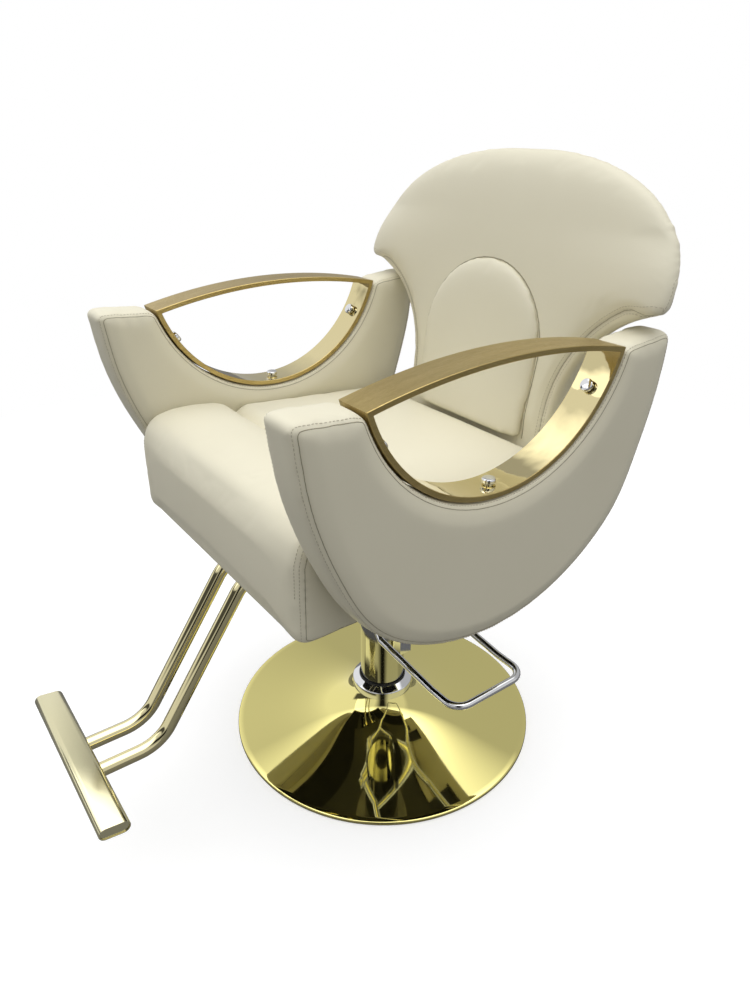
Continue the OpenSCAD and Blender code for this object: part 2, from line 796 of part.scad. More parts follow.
// Ring of points round the arm's section at station t, drawn in by inset, moved up by lift
function arm_ring(t, inset, lift) =
    let (o = arm_outer(t), i = arm_inner(t), v = i - o, length = norm(v), e = v / length,
        half = arm_t / 2 - inset, r = arm_edge_r,
        corners = [[1, 0], [1, 1], [-1, 1], [-1, 0]])
    [for (c = corners) for (k = [0:arm_corner_steps])
        let (turn = 90 / arm_corner_steps * k,
            first = (c[0] > 0) == (c[1] == 0),
            a = first ? turn : 90 - turn,
            x = -c[0] * (half - r + r * sin(a)),
            d = c[1] == 0 ? inset + r - r * cos(a) : length - inset - r + r * cos(a),
            p = o + e * d)
        [x, p[0], p[1] + lift]];

// Crescent-shaped upholstered pad, the sitter's left one
module arm_pad() {
    end_steps = [for (k = [3:-1:1]) let (a = 90 / 3 * k)
        [arm_edge_r * (1 - cos(a)) * 0.9, arm_edge_r * sin(a)]];
    head = [for (s = end_steps) arm_ring(0, s[0], s[1] - arm_edge_r)];
    body = [for (k = [0:arm_stations]) arm_ring(k / arm_stations, 0,
        k == 0 || k == arm_stations ? -arm_edge_r : 0)];
    tail = [for (k = [2:-1:0]) arm_ring(1, end_steps[k][0], end_steps[k][1] - arm_edge_r)];
    loft(concat(head, body, tail));
}

module left_arm_pad() {
    color("antiquewhite") translate([arm_x, 0, 0]) arm_pad();
}

module right_arm_pad() {
    color("antiquewhite") mirror([1, 0, 0]) translate([arm_x, 0, 0]) arm_pad();
}

// Lens between the low circle and the top circle, drawn in by inset
module lens(inset) {
    intersection() {
        translate([arm_y, low_z]) circle(r = low_r - inset, $fn = 240);
        translate([arm_y, top_z]) circle(r = top_r - inset, $fn = 720);
    }
}

// Places of the cap bolts, along the inside of the low arc
module cap_places() {
    for (a = [-cap_angle, 0, cap_angle])
        translate([0, arm_y, low_z]) rotate([a, 0, 0]) translate([0, 0, lens_strip - low_r]) children();
}

module arm_frame() {
    difference() {
        translate([-lens_w / 2, 0, 0]) rotate([90, 0, 90]) linear_extrude(lens_w) difference() {
            lens(0);
            lens(lens_strip);
        }
        cap_places() translate([0, 0, -lens_strip - overrun])
            cylinder(h = lens_strip + 2 * overrun, d = shank_d + 2 * bolt_gap);
    }
}

module left_arm_frame() {
    color("gold") translate([arm_x, 0, 0]) arm_frame();
}

module right_arm_frame() {
    color("gold") translate([-arm_x, 0, 0]) arm_frame();
}

// Domed chrome cap on a neck, with its shank through the strip
module cap_bolts() {
    edge = cap_h / 3;
    cap_places() {
        translate([0, 0, -shank_len]) cylinder(h = shank_len + cap_neck_h, d = shank_d);
        translate([0, 0, rest_gap]) cylinder(h = cap_neck_h, d = cap_neck_d);
        translate([0, 0, rest_gap + cap_neck_h]) rotate_extrude($fn = 48)
            polygon([[0, 0], [cap_d / 2 - edge / 2, 0], [cap_d / 2, edge / 2], [cap_d / 2, cap_h - edge],
                [cap_d / 2 - edge / 2, cap_h - edge / 3], [cap_d / 2 - edge * 1.5, cap_h], [0, cap_h]]);
    }
}

module left_cap_bolts() {
    color("silver") translate([arm_x, 0, 0]) cap_bolts();
}

module right_cap_bolts() {
    color("silver") translate([-arm_x, 0, 0]) cap_bolts();
}

// Children drawn in the back's own frame: x across, y to the rear, z up the slope
module on_back() {
    translate([0, back_base_y, back_z]) rotate([-back_tilt, 0, 0]) children();
}

// Half width of the back at height s: trunk, flare to the wings, round crest
function back_half(s) =
    s <= flare_s ? trunk_w / 2 :
    s < wing_s ? let (q = (s - flare_s) / (wing_s - flare_s))
        trunk_w / 2 + (back_w - trunk_w) / 2 * (1 - pow(1 - q * q, waist_power)) :
    back_w / 2 * pow(max(0, 1 - pow((s - wing_s) / crest_s, crest_power)), 1 / crest_power);

// How full the back is at height s, falling to nothing at the crest
function crest_full(s) =
    s <= wing_s ? 1 : pow(max(0, 1 - pow((s - wing_s) / crest_s, edge_power)), 1 / edge_power);

function edge_full(u) = pow(max(0, 1 - pow(abs(u), edge_power)), 1 / edge_power);

// Place of a point of the back at half width x and depth d, with the wings bowed forward
function bowed(x, d, s) = [x, d - wing_bow * pow(2 * x / back_w, 2) * min(1, max(0, s / wing_s)), s];

back_front_shares = [-1, -0.985, -0.94, -0.86, -0.72, -0.48, -0.32, -0.16,
    0, 0.16, 0.32, 0.48, 0.72, 0.86, 0.94, 0.985, 1];
back_rear_shares = [[0.3, 0.26], [0.6, 0.6], [0.85, 0.92], [1, 1]];

function back_inset(s) =
    s <= flare_s ? trunk_inset :
    s < wing_s ? let (q = (s - flare_s) / (wing_s - flare_s))
        trunk_inset + (wing_inset - trunk_inset) * q * q :
    wing_inset;

function back_ring(s) =
    let (w = back_half(s), g = crest_full(s), inset = min(back_inset(s), w * 0.8), deep = back_t - seam_depth)
    concat(
        [for (u = back_front_shares) bowed(u * w, seam_depth * (1 - edge_full(u) * g), s)],
        [for (q = back_rear_shares) bowed(w - inset * q[0], seam_depth + deep * q[1] * g, s)],
        [for (i = [len(back_rear_shares) - 1:-1:0]) let (q = back_rear_shares[i])
            bowed(inset * q[0] - w, seam_depth + deep * q[1] * g, s)]);

waist_row_shares = [0, 0.25, 0.45, 0.6, 0.72, 0.82, 0.9, 0.95, 0.985];
crest_row_angles = [0, 8, 18, 28, 38, 48, 58, 67, 75, 82, 87];

back_rows = concat([back_low_s, back_low_s / 2],
    [for (q = waist_row_shares) flare_s + q * (wing_s - flare_s)],
    [for (a = crest_row_angles) wing_s + crest_s * pow(sin(a), 2 / crest_power)]);

module back_pad() {
    color("antiquewhite") difference() {
        on_back() loft([for (s = back_rows) back_ring(s)]);
        bracket_legs(rest_gap);
    }
}

cover_cross_shares = [-1, -0.5, 0, 0.5, 1];

// Thin panel on the rear of the back, inside its seam
module back_cover() {
    rows = [for (s = back_rows) if (s > back_low_s && s < wing_s + crest_s * 0.9) s];
    rings = [for (s = rows) let (w = max(back_half(s) - back_inset(s) - rear_cover_t, back_half(s) * 0.2),
            d = seam_depth + (back_t - seam_depth) * crest_full(s) + rest_gap)
        concat([for (u = cover_cross_shares) bowed(u * w, d, s)],
            [for (i = [len(cover_cross_shares) - 1:-1:0])
                bowed(cover_cross_shares[i] * (w - rear_cover_t / 2), d + rear_cover_t, s)])];
    color("antiquewhite") on_back() loft(rings);
}

// Half width of the lumbar pad at height s: straight sides and a round arch
function lumbar_half(s) =
    s <= lumbar_arch_h ?
        lumbar_w / 2 * (lumbar_low_share
            + (1 - lumbar_low_share) * (s - lumbar_low_s) / (lumbar_arch_h - lumbar_low_s)) :
    lumbar_w / 2 * pow(max(0, 1 - pow((s - lumbar_arch_h) / (lumbar_top - lumbar_arch_h), 2)), 0.5);

function lumbar_full(s) =
    s <= lumbar_arch_h ? 1 :
    pow(max(0, 1 - pow((s - lumbar_arch_h) / (lumbar_top - lumbar_arch_h), 8)), 1 / 4);

lumbar_cross_shares = [-1, -0.97, -0.88, -0.7, -0.4, 0, 0.4, 0.7, 0.88, 0.97, 1];
lumbar_row_shares = [0, 0.25, 0.5, 0.75];
lumbar_arch_angles = [0, 12, 24, 36, 48, 60, 71, 80, 87];

module lumbar_pad() {
    rows = concat([for (q = lumbar_row_shares) lumbar_low_s + q * (lumbar_arch_h - lumbar_low_s)],
        [for (a = lumbar_arch_angles) lumbar_arch_h + (lumbar_top - lumbar_arch_h) * sin(a)]);
    rings = [for (s = rows) let (w = lumbar_half(s), g = lumbar_full(s))
        concat([for (u = lumbar_cross_shares)
            bowed(u * w, -rest_gap - lumbar_t * g * edge_full(u) * (1 - lumbar_fall_share * u * u), s)],
            [for (u = [1, 0.5, 0, -0.5, -1]) bowed(u * w, -rest_gap / 2, s)])];
    color("antiquewhite") on_back() loft(rings);
}

// Upright legs of the back brackets, in the back's frame, grown by a clearance
module bracket_legs(gap) {
    low_s = back_low_s - bracket_t - bracket_sink;
    on_back() for (side = [-1, 1])
        translate([side * bracket_x - bracket_w / 2 - gap, bracket_back_d - gap, low_s - gap])
        cube([bracket_w + 2 * gap, bracket_t + 2 * gap, bracket_up_s - low_s + 2 * gap]);
}

function bracket_foot_y() =
    back_base_y + bracket_back_d * cos(back_tilt) + back_low_s * sin(back_tilt);

module bracket_screw_places() {
    for (side = [-1, 1]) for (share = [0.15, 0.5])
        translate([side * bracket_x, bracket_front_y + share * (seat_back - bracket_front_y), seat_z])
            children();
}

module back_brackets() {
    color("dimgray") {
        bracket_legs(0);
        difference() {
            for (side = [-1, 1])
                translate([side * bracket_x - bracket_w / 2 + edge_cut, bracket_front_y, dust_z - bracket_t])
                cube([bracket_w - 2 * edge_cut, bracket_foot_y() + bracket_t / 2 - bracket_front_y,
                    bracket_t]);
            bracket_screw_places() translate([0, 0, -dust_cover_t - bracket_t - overrun])
                cylinder(h = bracket_t + 2 * overrun, d = screw_d + 2 * bolt_gap);
        }
    }
}

module bracket_screws() {
    color("silver") bracket_screw_places() translate([0, 0, -dust_cover_t - bracket_t]) mirror([0, 0, 1])
        bolt(screw_d - run_gap, bracket_t + dust_cover_t + screw_depth - screw_spare,
            screw_head_d, screw_head_h);
}

// One footrest tube in its own plane: low run, bend, slope, bend, high run
module foot_tube_path(r, swell) {
    low_len = bar_ahead - foot_corner - foot_tan;
    translate([0, -bar_ahead, foot_low_z]) rotate([-90, 0, 0]) cylinder(h = low_len, r = r);
    translate([0, -foot_corner - foot_tan, foot_low_z + foot_bend]) rotate([0, 90, 0])
        bend(foot_bend, foot_angle, r + swell);
    translate([0, -foot_corner + foot_tan * cos(foot_angle), foot_low_z + foot_tan * sin(foot_angle)])
        rotate([foot_angle - 90, 0, 0]) cylinder(h = foot_slant, r = r);
    translate([0, foot_high_y + foot_tan, foot_high_z - foot_bend]) rotate([0, -90, 0])
        rotate([0, 0, -foot_angle]) bend(foot_bend, foot_angle, r + swell);
    translate([0, foot_high_y + foot_tan, foot_high_z]) rotate([-90, 0, 0])
        cylinder(h = foot_end_y - foot_high_y - foot_tan, r = r);
}

module bar_shape(grow) {
    round_r = bar_h / 2 + grow;
    flat = bar_w - bar_h;
    square([flat, 2 * round_r], center = true);
    for (side = [-1, 1]) translate([side * flat / 2, 0]) circle(r = round_r);
}

// Children along the foot bar: extruded across the chair, tilted towards the sitter
module on_bar() {
    translate([0, -bar_ahead, bar_z]) rotate([-bar_tilt, 0, 0]) rotate([90, 0, 90]) children();
}

module foot_tube() {
    difference() {
        foot_tube_path(foot_r, bend_swell);
        foot_tube_path(foot_r - foot_wall, -bend_swell);
        on_bar() translate([0, 0, -bar_len]) linear_extrude(2 * bar_len) bar_shape(0);
    }
}

module left_foot_tube() {
    color("gold") translate([foot_pitch / 2, 0, 0]) foot_tube();
}

module right_foot_tube() {
    color("gold") translate([-foot_pitch / 2, 0, 0]) foot_tube();
}

module foot_bar() {
    color("gold") on_bar() translate([0, 0, -bar_len / 2]) linear_extrude(bar_len) difference() {
        bar_shape(0);
        bar_shape(-bar_wall);
    }
}

module foot_bar_ends() {
    color("gold") on_bar() for (side = [0, 1]) mirror([0, 0, side])
        translate([0, 0, bar_len / 2 - bar_end_t]) linear_extrude(bar_end_t) bar_shape(-bar_wall - run_gap);
}

module foot_screw_places() {
    for (side = [-1, 1]) for (share = [0.15, 0.85])
        translate([side * (foot_plate_w / 2 - screw_head_d),
            foot_plate_len * share - foot_plate_front, seat_z])
            children();
}

module foot_plate() {
    color("dimgray") difference() {
        translate([-foot_plate_w / 2, -foot_plate_front, dust_z - foot_plate_t])
            cube([foot_plate_w, foot_plate_len, foot_plate_t]);
        foot_screw_places() translate([0, 0, -dust_cover_t - foot_plate_t - overrun])
            cylinder(h = foot_plate_t + 2 * overrun, d = screw_d + 2 * bolt_gap);
    }
}

module foot_plate_screws() {
    color("silver") foot_screw_places() translate([0, 0, -dust_cover_t - foot_plate_t]) mirror([0, 0, 1])
        bolt(screw_d - run_gap, foot_plate_t + dust_cover_t + screw_depth - screw_spare,
            screw_head_d, screw_head_h);
}

floor_plate();
floor_ring();
weight_disc();
base_shell();
base_socket();
socket_bolts();
socket_bush();
thrust_washer();
base_collar();
collar_gasket();
ram_rod();
ram_piston();
piston_seal();
column_tube();
column_guide();
pump_head();
lever_bracket();
pump_block();
pump_plunger();
lever_rod();
lever_nuts();
seat_plate();
head_bolts();
frame_rails();
dust_cover();
seat_board();
seat_box();
seat_foam();
seat_front_pad();
seat_cushion();
arm_fixings();
left_arm_pad();
right_arm_pad();
left_arm_frame();
right_arm_frame();
left_cap_bolts();
right_cap_bolts();
back_pad();
back_cover();
lumbar_pad();
back_brackets();
bracket_screws();
left_foot_tube();
right_foot_tube();
foot_bar();
foot_bar_ends();
foot_plate();
foot_plate_screws();
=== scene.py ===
# %% [markdown]
# # A hairdressing chair
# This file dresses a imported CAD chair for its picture: leather, gold, chrome, seams and stitches.
# The CAD parts are the fixed frame, in metres, with the floor at zero and the sitter facing -Y.
# Hard turned and bent parts are drawn again here with finer edges, because polish shows every facet.
# The camera comes first, since it says how much of each finish has to be seen.

# %% Load the frame and place the camera
import math

import bpy
from mathutils import Matrix, Vector, kdtree
from mathutils.bvhtree import BVHTree
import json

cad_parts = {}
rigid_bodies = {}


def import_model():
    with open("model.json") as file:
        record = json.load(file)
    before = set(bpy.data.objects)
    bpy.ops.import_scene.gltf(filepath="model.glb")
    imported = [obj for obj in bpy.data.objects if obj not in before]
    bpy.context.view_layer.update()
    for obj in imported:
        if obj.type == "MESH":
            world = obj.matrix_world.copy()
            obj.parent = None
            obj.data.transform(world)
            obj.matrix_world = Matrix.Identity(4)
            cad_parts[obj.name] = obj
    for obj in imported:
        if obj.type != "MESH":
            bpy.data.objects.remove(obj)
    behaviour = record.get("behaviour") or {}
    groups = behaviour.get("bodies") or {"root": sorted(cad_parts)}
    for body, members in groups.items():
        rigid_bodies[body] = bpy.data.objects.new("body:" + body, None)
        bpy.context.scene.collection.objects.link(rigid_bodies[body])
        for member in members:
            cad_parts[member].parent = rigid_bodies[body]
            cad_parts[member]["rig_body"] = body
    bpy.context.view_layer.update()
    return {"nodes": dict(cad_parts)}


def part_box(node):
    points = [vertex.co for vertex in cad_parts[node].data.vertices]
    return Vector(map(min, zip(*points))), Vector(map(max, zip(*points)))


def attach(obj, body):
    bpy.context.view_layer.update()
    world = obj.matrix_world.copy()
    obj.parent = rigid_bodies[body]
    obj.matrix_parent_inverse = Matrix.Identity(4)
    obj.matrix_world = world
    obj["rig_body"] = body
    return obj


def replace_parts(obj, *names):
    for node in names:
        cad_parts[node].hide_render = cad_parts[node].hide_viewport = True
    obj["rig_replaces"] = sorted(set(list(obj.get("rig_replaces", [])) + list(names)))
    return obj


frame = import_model()

MM = 0.001
CAMERA_AT = Vector((904.7, -680.3, 1036.1)) * MM
CAMERA_AZIMUTH, CAMERA_ELEVATION = math.radians(53.77), math.radians(26.99)
CAMERA_LENS, SENSOR_LONG_SIDE = 26.9, 36.0
CLIP_NEAR, CLIP_FAR = 0.05, 50

camera_data = bpy.data.cameras.new("camera")
camera_data.sensor_width, camera_data.lens = SENSOR_LONG_SIDE, CAMERA_LENS
camera_data.clip_start, camera_data.clip_end = CLIP_NEAR, CLIP_FAR
camera = bpy.data.objects.new("camera", camera_data)
bpy.context.scene.collection.objects.link(camera)
bpy.context.scene.camera = camera
camera_back = Vector((math.sin(CAMERA_AZIMUTH) * math.cos(CAMERA_ELEVATION),
                      -math.cos(CAMERA_AZIMUTH) * math.cos(CAMERA_ELEVATION),
                      math.sin(CAMERA_ELEVATION)))
camera.location = CAMERA_AT
camera.rotation_mode = "QUATERNION"
camera.rotation_quaternion = camera_back.to_track_quat("Z", "Y")

# %% [markdown]
# ## Effects that several finishes share
# A shader node group is built once and placed in each material with its own numbers.
# It only hands out masks and heights, and the Principled shader stays in the material.
# All of them read object coordinates, which are the frame's own metres, so the grain keeps its real size.

# %% A small builder for node trees
def tree_of(owner):
    """Empties a material's or group's node tree and gives it back."""
    tree = getattr(owner, "node_tree", None) or owner
    tree.nodes.clear()
    return tree


def add(tree, kind, settings=(), **inputs):
    """Adds one node, sets its properties, then its inputs: a value is set, a socket is linked."""
    node = tree.nodes.new("ShaderNode" + kind)
    for name, value in dict(settings).items():
        setattr(node, name, value)
    for name, value in inputs.items():
        numbered = name[0] == "i" and name[1:].isdigit()
        socket = node.inputs[int(name[1:]) if numbered else name.replace("_", " ")]
        if isinstance(value, bpy.types.NodeSocket):
            tree.links.new(value, socket)
        else:
            socket.default_value = value
    return node


def maths(tree, operation, a, b, c=0.0, clamp=False):
    """One math node with its result socket."""
    settings = {"operation": operation, "use_clamp": clamp}
    return add(tree, "Math", settings, i0=a, i1=b, i2=c).outputs[0]


def ramp(tree, value, low, high, to_low=0.0, to_high=1.0):
    """Maps a value from one range to another and clamps it."""
    return add(tree, "MapRange", {"clamp": True}, Value=value, From_Min=low, From_Max=high,
               To_Min=to_low, To_Max=to_high).outputs["Result"]


def mix_colour(tree, share, first, second):
    """Mixes two colours by a share."""
    node = add(tree, "Mix", {"data_type": "RGBA"}, i0=share)
    for socket, value in ((node.inputs[6], first), (node.inputs[7], second)):
        if isinstance(value, bpy.types.NodeSocket):
            tree.links.new(value, socket)
        else:
            socket.default_value = (*value, 1.0)
    return node.outputs[2]


def group(name, inputs, outputs):
    """A node group with named number inputs and named outputs."""
    tree = bpy.data.node_groups.new(name, "ShaderNodeTree")
    for label, value in inputs.items():
        socket = tree.interface.new_socket(label, in_out="INPUT", socket_type="NodeSocketFloat")
        socket.default_value = value
    for label in outputs:
        tree.interface.new_socket(label, in_out="OUTPUT", socket_type="NodeSocketFloat")
    return tree, tree.nodes.new("NodeGroupInput"), tree.nodes.new("NodeGroupOutput")


def place(tree, shared, **inputs):
    """Places a shared group in a material."""
    node = tree.nodes.new("ShaderNodeGroup")
    node.node_tree = shared
    for name, value in inputs.items():
        node.inputs[name.replace("_", " ")].default_value = value
    return node


# %% Leather grain: fine pebbles with soft creases
GRAIN_WARP = 0.0012
grain_group, grain_in, grain_out = group("leather_grain", {"Pebble Size": 0.0011, "Crease": 0.3},
                                         ["Height", "Mottle"])
where = add(grain_group, "TexCoord").outputs["Object"]
pebble_scale = maths(grain_group, "DIVIDE", 1.0, grain_in.outputs["Pebble Size"])
warp = add(grain_group, "TexNoise", Vector=where, Scale=140.0, Detail=2.0)
warped = add(grain_group, "VectorMath", {"operation": "MULTIPLY_ADD"}, i0=warp.outputs["Color"],
             i1=(GRAIN_WARP,) * 3, i2=where).outputs[0]
pebbles = add(grain_group, "TexVoronoi", {"feature": "SMOOTH_F1"}, Vector=warped, Scale=pebble_scale)
creases = add(grain_group, "TexNoise", Vector=where, Scale=38.0, Detail=4.0, Roughness=0.6)
crease_height = maths(grain_group, "MULTIPLY", creases.outputs["Fac"], grain_in.outputs["Crease"])
pebble_height = maths(grain_group, "MULTIPLY", pebbles.outputs["Distance"], -0.5)
grain_height = maths(grain_group, "ADD", pebble_height, crease_height)
grain_group.links.new(grain_height, grain_out.inputs["Height"])
cloudy = add(grain_group, "TexNoise", Vector=where, Scale=6.0, Detail=3.0)
grain_group.links.new(ramp(grain_group, cloudy.outputs["Fac"], 0.35, 0.65), grain_out.inputs["Mottle"])

# %% Brushed metal: streaks drawn out along one axis
brush_group, brush_in, brush_out = group(
    "brushed_streaks", {"Along X": 40.0, "Along Y": 3.0, "Along Z": 40.0}, ["Streak", "Tarnish"])
where = add(brush_group, "TexCoord").outputs["Object"]
stretch = add(brush_group, "CombineXYZ", **{axis: brush_in.outputs["Along " + axis] for axis in "XYZ"})
stretched = add(brush_group, "VectorMath", {"operation": "MULTIPLY"}, i0=where,
                i1=stretch.outputs[0]).outputs[0]
streak = add(brush_group, "TexNoise", Vector=stretched, Scale=14.0, Detail=6.0, Roughness=0.65)
brush_group.links.new(ramp(brush_group, streak.outputs["Fac"], 0.3, 0.7), brush_out.inputs["Streak"])
tarnish = add(brush_group, "TexNoise", Vector=stretched, Scale=1.3, Detail=5.0, Roughness=0.6)
brush_group.links.new(ramp(brush_group, tarnish.outputs["Fac"], 0.38, 0.66), brush_out.inputs["Tarnish"])

# %% Handling marks: faint smears that only change how rough a polish is
smear_group, smear_in, smear_out = group("handling_marks", {"Size": 0.05, "Amount": 0.06}, ["Roughness"])
where = add(smear_group, "TexCoord").outputs["Object"]
smear_scale = maths(smear_group, "DIVIDE", 1.0, smear_in.outputs["Size"])
smears = add(smear_group, "TexNoise", Vector=where, Scale=smear_scale, Detail=6.0, Roughness=0.7,
             Distortion=0.8)
smear_share = ramp(smear_group, smears.outputs["Fac"], 0.45, 0.75)
smear_group.links.new(maths(smear_group, "MULTIPLY", smear_share, smear_in.outputs["Amount"]),
                      smear_out.inputs["Roughness"])
print("shared effects:", [g.name for g in (grain_group, brush_group, smear_group)])

# %% [markdown]
# ## The finishes
# The cream leather is a dyed, smooth hide: a faint pebble, a low soft sheen and painted shade darkening the
# seams.
# It reads a point attribute named seam, which is 1 in a seam's valley and falls to 0 beside it; the painted
# shade follows it.
# Gold appears in three ways. The base, the footrest's tubes and the inside of the arm frames are mirror
# polished, the foot bar has a duller polish, and the outside of the arm frames is brushed.

# %% Cream leather
def finish_of(name):
    """A new material and its node tree, with an output and a Principled shader."""
    material = bpy.data.materials.new(name)
    material.use_nodes = True
    tree = tree_of(material)
    shader = add(tree, "BsdfPrincipled")
    output = add(tree, "OutputMaterial")
    tree.links.new(shader.outputs[0], output.inputs["Surface"])
    return material, tree, shader


def bump(tree, shader, height, strength, depth):
    """Feeds a height into the shader's normal."""
    node = add(tree, "Bump", Height=height, Strength=strength, Distance=depth)
    tree.links.new(node.outputs[0], shader.inputs["Normal"])


# The third colour is painted shade, not dye: the colour the leather darkens to in a seam's valley.
CREAM, CREAM_WORN, CREAM_SEAM_SHADE = (0.79, 0.75, 0.59), (0.755, 0.712, 0.55), (0.4, 0.36, 0.26)
WORN_SHARE, SEAM_SHADE_SHARE = 0.35, 0.55


def leather(name, pebble, crease):
    """Dyed hide with a pebble grain and painted shade darkening the seams."""
    material, tree, shader = finish_of(name)
    grain = place(tree, grain_group, Pebble_Size=pebble, Crease=crease)
    seam = add(tree, "Attribute", {"attribute_name": "seam"}).outputs["Fac"]
    worn = maths(tree, "MULTIPLY", grain.outputs["Mottle"], WORN_SHARE)
    dyed = mix_colour(tree, worn, CREAM, CREAM_WORN)
    # Painted shade: the colour darkens towards the seam colour near each seam.
    dyed = mix_colour(tree, maths(tree, "MULTIPLY", seam, SEAM_SHADE_SHARE), dyed, CREAM_SEAM_SHADE)
    tree.links.new(dyed, shader.inputs["Base Color"])
    shine = ramp(tree, grain.outputs["Height"], -0.3, 0.3, 0.5, 0.38)
    tree.links.new(shine, shader.inputs["Roughness"])
    shader.inputs["Specular IOR Level"].default_value = 0.4
    shader.inputs["Sheen Weight"].default_value = 0.06
    bump(tree, shader, grain.outputs["Height"], 0.22, 0.0006)
    return material


cream_leather = leather("cream_leather", 0.0012, 0.35)
print("finish:", cream_leather.name)

# %% Gold, chrome and the other metals
WAVES_A_METRE, WAVE_DEPTH = 26.0, 0.004


def polished(name, colour, roughness, marks, waves=0.0):
    """Mirror metal with faint handling marks and, where asked, slightly wavy sheet."""
    material, tree, shader = finish_of(name)
    smear = place(tree, smear_group, Size=0.06, Amount=marks)
    shader.inputs["Base Color"].default_value = (*colour, 1.0)
    shader.inputs["Metallic"].default_value = 1.0
    smeared = maths(tree, "ADD", smear.outputs["Roughness"], roughness)
    tree.links.new(smeared, shader.inputs["Roughness"])
    if waves:
        where = add(tree, "TexCoord").outputs["Object"]
        wavy = add(tree, "TexNoise", Vector=where, Scale=WAVES_A_METRE, Detail=1.5, Roughness=0.4)
        bump(tree, shader, wavy.outputs["Fac"], waves, WAVE_DEPTH)
    return material


STREAK_DEPTH = 0.0002


def brushed(name, bright, dark, roughness, along):
    """Metal brushed along one axis, with darker tarnish between the streaks."""
    material, tree, shader = finish_of(name)
    marks = place(tree, brush_group, Along_X=along[0], Along_Y=along[1], Along_Z=along[2])
    share = maths(tree, "MULTIPLY_ADD", marks.outputs["Streak"], 0.45,
                  maths(tree, "MULTIPLY", marks.outputs["Tarnish"], 0.45), clamp=True)
    tree.links.new(mix_colour(tree, share, bright, dark), shader.inputs["Base Color"])
    shader.inputs["Metallic"].default_value = 1.0
    tree.links.new(ramp(tree, marks.outputs["Streak"], 0, 1, roughness - 0.06, roughness + 0.08),
                   shader.inputs["Roughness"])
    bump(tree, shader, marks.outputs["Streak"], 0.35, STREAK_DEPTH)
    return material


mirror_gold = polished("mirror_gold", (0.92, 0.83, 0.33), 0.03, 0.03)
strip_gold = polished("strip_gold", (0.78, 0.68, 0.38), 0.04, 0.06, 0.25)
chrome = polished("chrome", (0.83, 0.84, 0.86), 0.04, 0.04)
column_chrome = polished("column_chrome", (0.5, 0.5, 0.49), 0.06, 0.05)
tube_gold = polished("tube_gold", (0.84, 0.76, 0.45), 0.04, 0.04)
bar_gold = polished("bar_gold", (0.84, 0.79, 0.52), 0.14, 0.08)
antique_gold = brushed("antique_gold", (0.6, 0.47, 0.2), (0.42, 0.31, 0.11), 0.34, (60, 5, 60))
zinc = brushed("zinc", (0.6, 0.61, 0.63), (0.42, 0.43, 0.45), 0.3, (30, 30, 30))
cast_metal = brushed("cast_metal", (0.22, 0.22, 0.23), (0.12, 0.12, 0.13), 0.48, (30, 30, 30))
bronze = brushed("bronze", (0.6, 0.4, 0.2), (0.4, 0.25, 0.11), 0.32, (30, 30, 6))
metals = [mirror_gold, strip_gold, chrome, column_chrome, tube_gold, bar_gold, antique_gold, zinc,
          cast_metal, bronze]
print("metals made:", [metal.name for metal in metals])

# %% Dull finishes: powder coat, rubber, cloth, plywood, foam and thread
def dull(name, first, second, roughness, noise_scale, strength, depth, stretch=(1, 1, 1)):
    """Matte stuff whose colour and height follow one noise."""
    material, tree, shader = finish_of(name)
    where = add(tree, "TexCoord").outputs["Object"]
    drawn = add(tree, "VectorMath", {"operation": "MULTIPLY"}, i0=where, i1=stretch).outputs[0]
    noisy = add(tree, "TexNoise", Vector=drawn, Scale=noise_scale, Detail=5.0, Roughness=0.6)
    spots = noisy.outputs["Fac"]
    mixed = mix_colour(tree, ramp(tree, spots, 0.35, 0.65), first, second)
    tree.links.new(mixed, shader.inputs["Base Color"])
    shader.inputs["Roughness"].default_value = roughness
    bump(tree, shader, spots, strength, depth)
    return material


powder_black = dull("powder_black", (0.012, 0.012, 0.013), (0.022, 0.022, 0.023), 0.45, 1400, 0.3,
                    0.0002)
rubber = dull("rubber", (0.012, 0.012, 0.012), (0.022, 0.022, 0.022), 0.6, 500, 0.2, 0.0002)
dust_cloth = dull("dust_cloth", (0.006, 0.006, 0.006), (0.016, 0.016, 0.016), 0.9, 1800, 0.6, 0.0003)
plywood = dull("plywood", (0.62, 0.45, 0.26), (0.46, 0.31, 0.16), 0.6, 30, 0.2, 0.0004, (1, 12, 1))
foam = dull("foam", (0.8, 0.74, 0.52), (0.68, 0.62, 0.42), 0.95, 1500, 0.7, 0.0008)
thread = dull("thread", (0.6, 0.55, 0.42), (0.44, 0.4, 0.3), 0.55, 900, 0.5, 0.0002, (1, 1, 4))
# The seam cord's dark colour is painted shade: it stands for the shadow in the gap of each seam, not for a
# dark leather edge.
seam_shadow_cord = dull("seam_shadow_cord", (0.3, 0.27, 0.18), (0.38, 0.345, 0.24), 0.7, 300, 0.2, 0.0002)
dull_finishes = [powder_black, rubber, dust_cloth, plywood, foam, thread, seam_shadow_cord]
print("dull finishes made:", [finish.name for finish in dull_finishes])

# %% [markdown]
# ## Tools for shapes
# Polished parts need smooth outlines, so corners are rounded with true arcs before a part is spun or swept.
# A turned part is a profile spun round the column, and a bent rod is a ring of points swept along a path.

# %% Arcs, spun profiles and swept tubes
def rounded(points, radius, steps, closed=False):
    """The path through the points with each corner turned by an arc."""
    points = [Vector(p) for p in points]
    count, out = len(points), []
    for k, corner in enumerate(points):
        if not closed and k in (0, count - 1):
            out.append(corner)
            continue
        r = radius[k] if isinstance(radius, (list, tuple)) else radius
        before = (points[k - 1] - corner).normalized()
        after = (points[(k + 1) % count] - corner).normalized()
        angle = before.angle(after)
        if r <= 0 or angle > math.pi - 0.01:
            out.append(corner)
            continue
        centre = corner + (before + after).normalized() * (r / math.sin(angle / 2))
        reach = r / math.tan(angle / 2)
        first, last = corner + before * reach - centre, corner + after * reach - centre
        turn = math.pi - angle
        for s in range(steps + 1):
            a = s / steps * turn
            out.append(centre + (first * math.sin(turn - a) + last * math.sin(a)) / math.sin(turn))
    return out


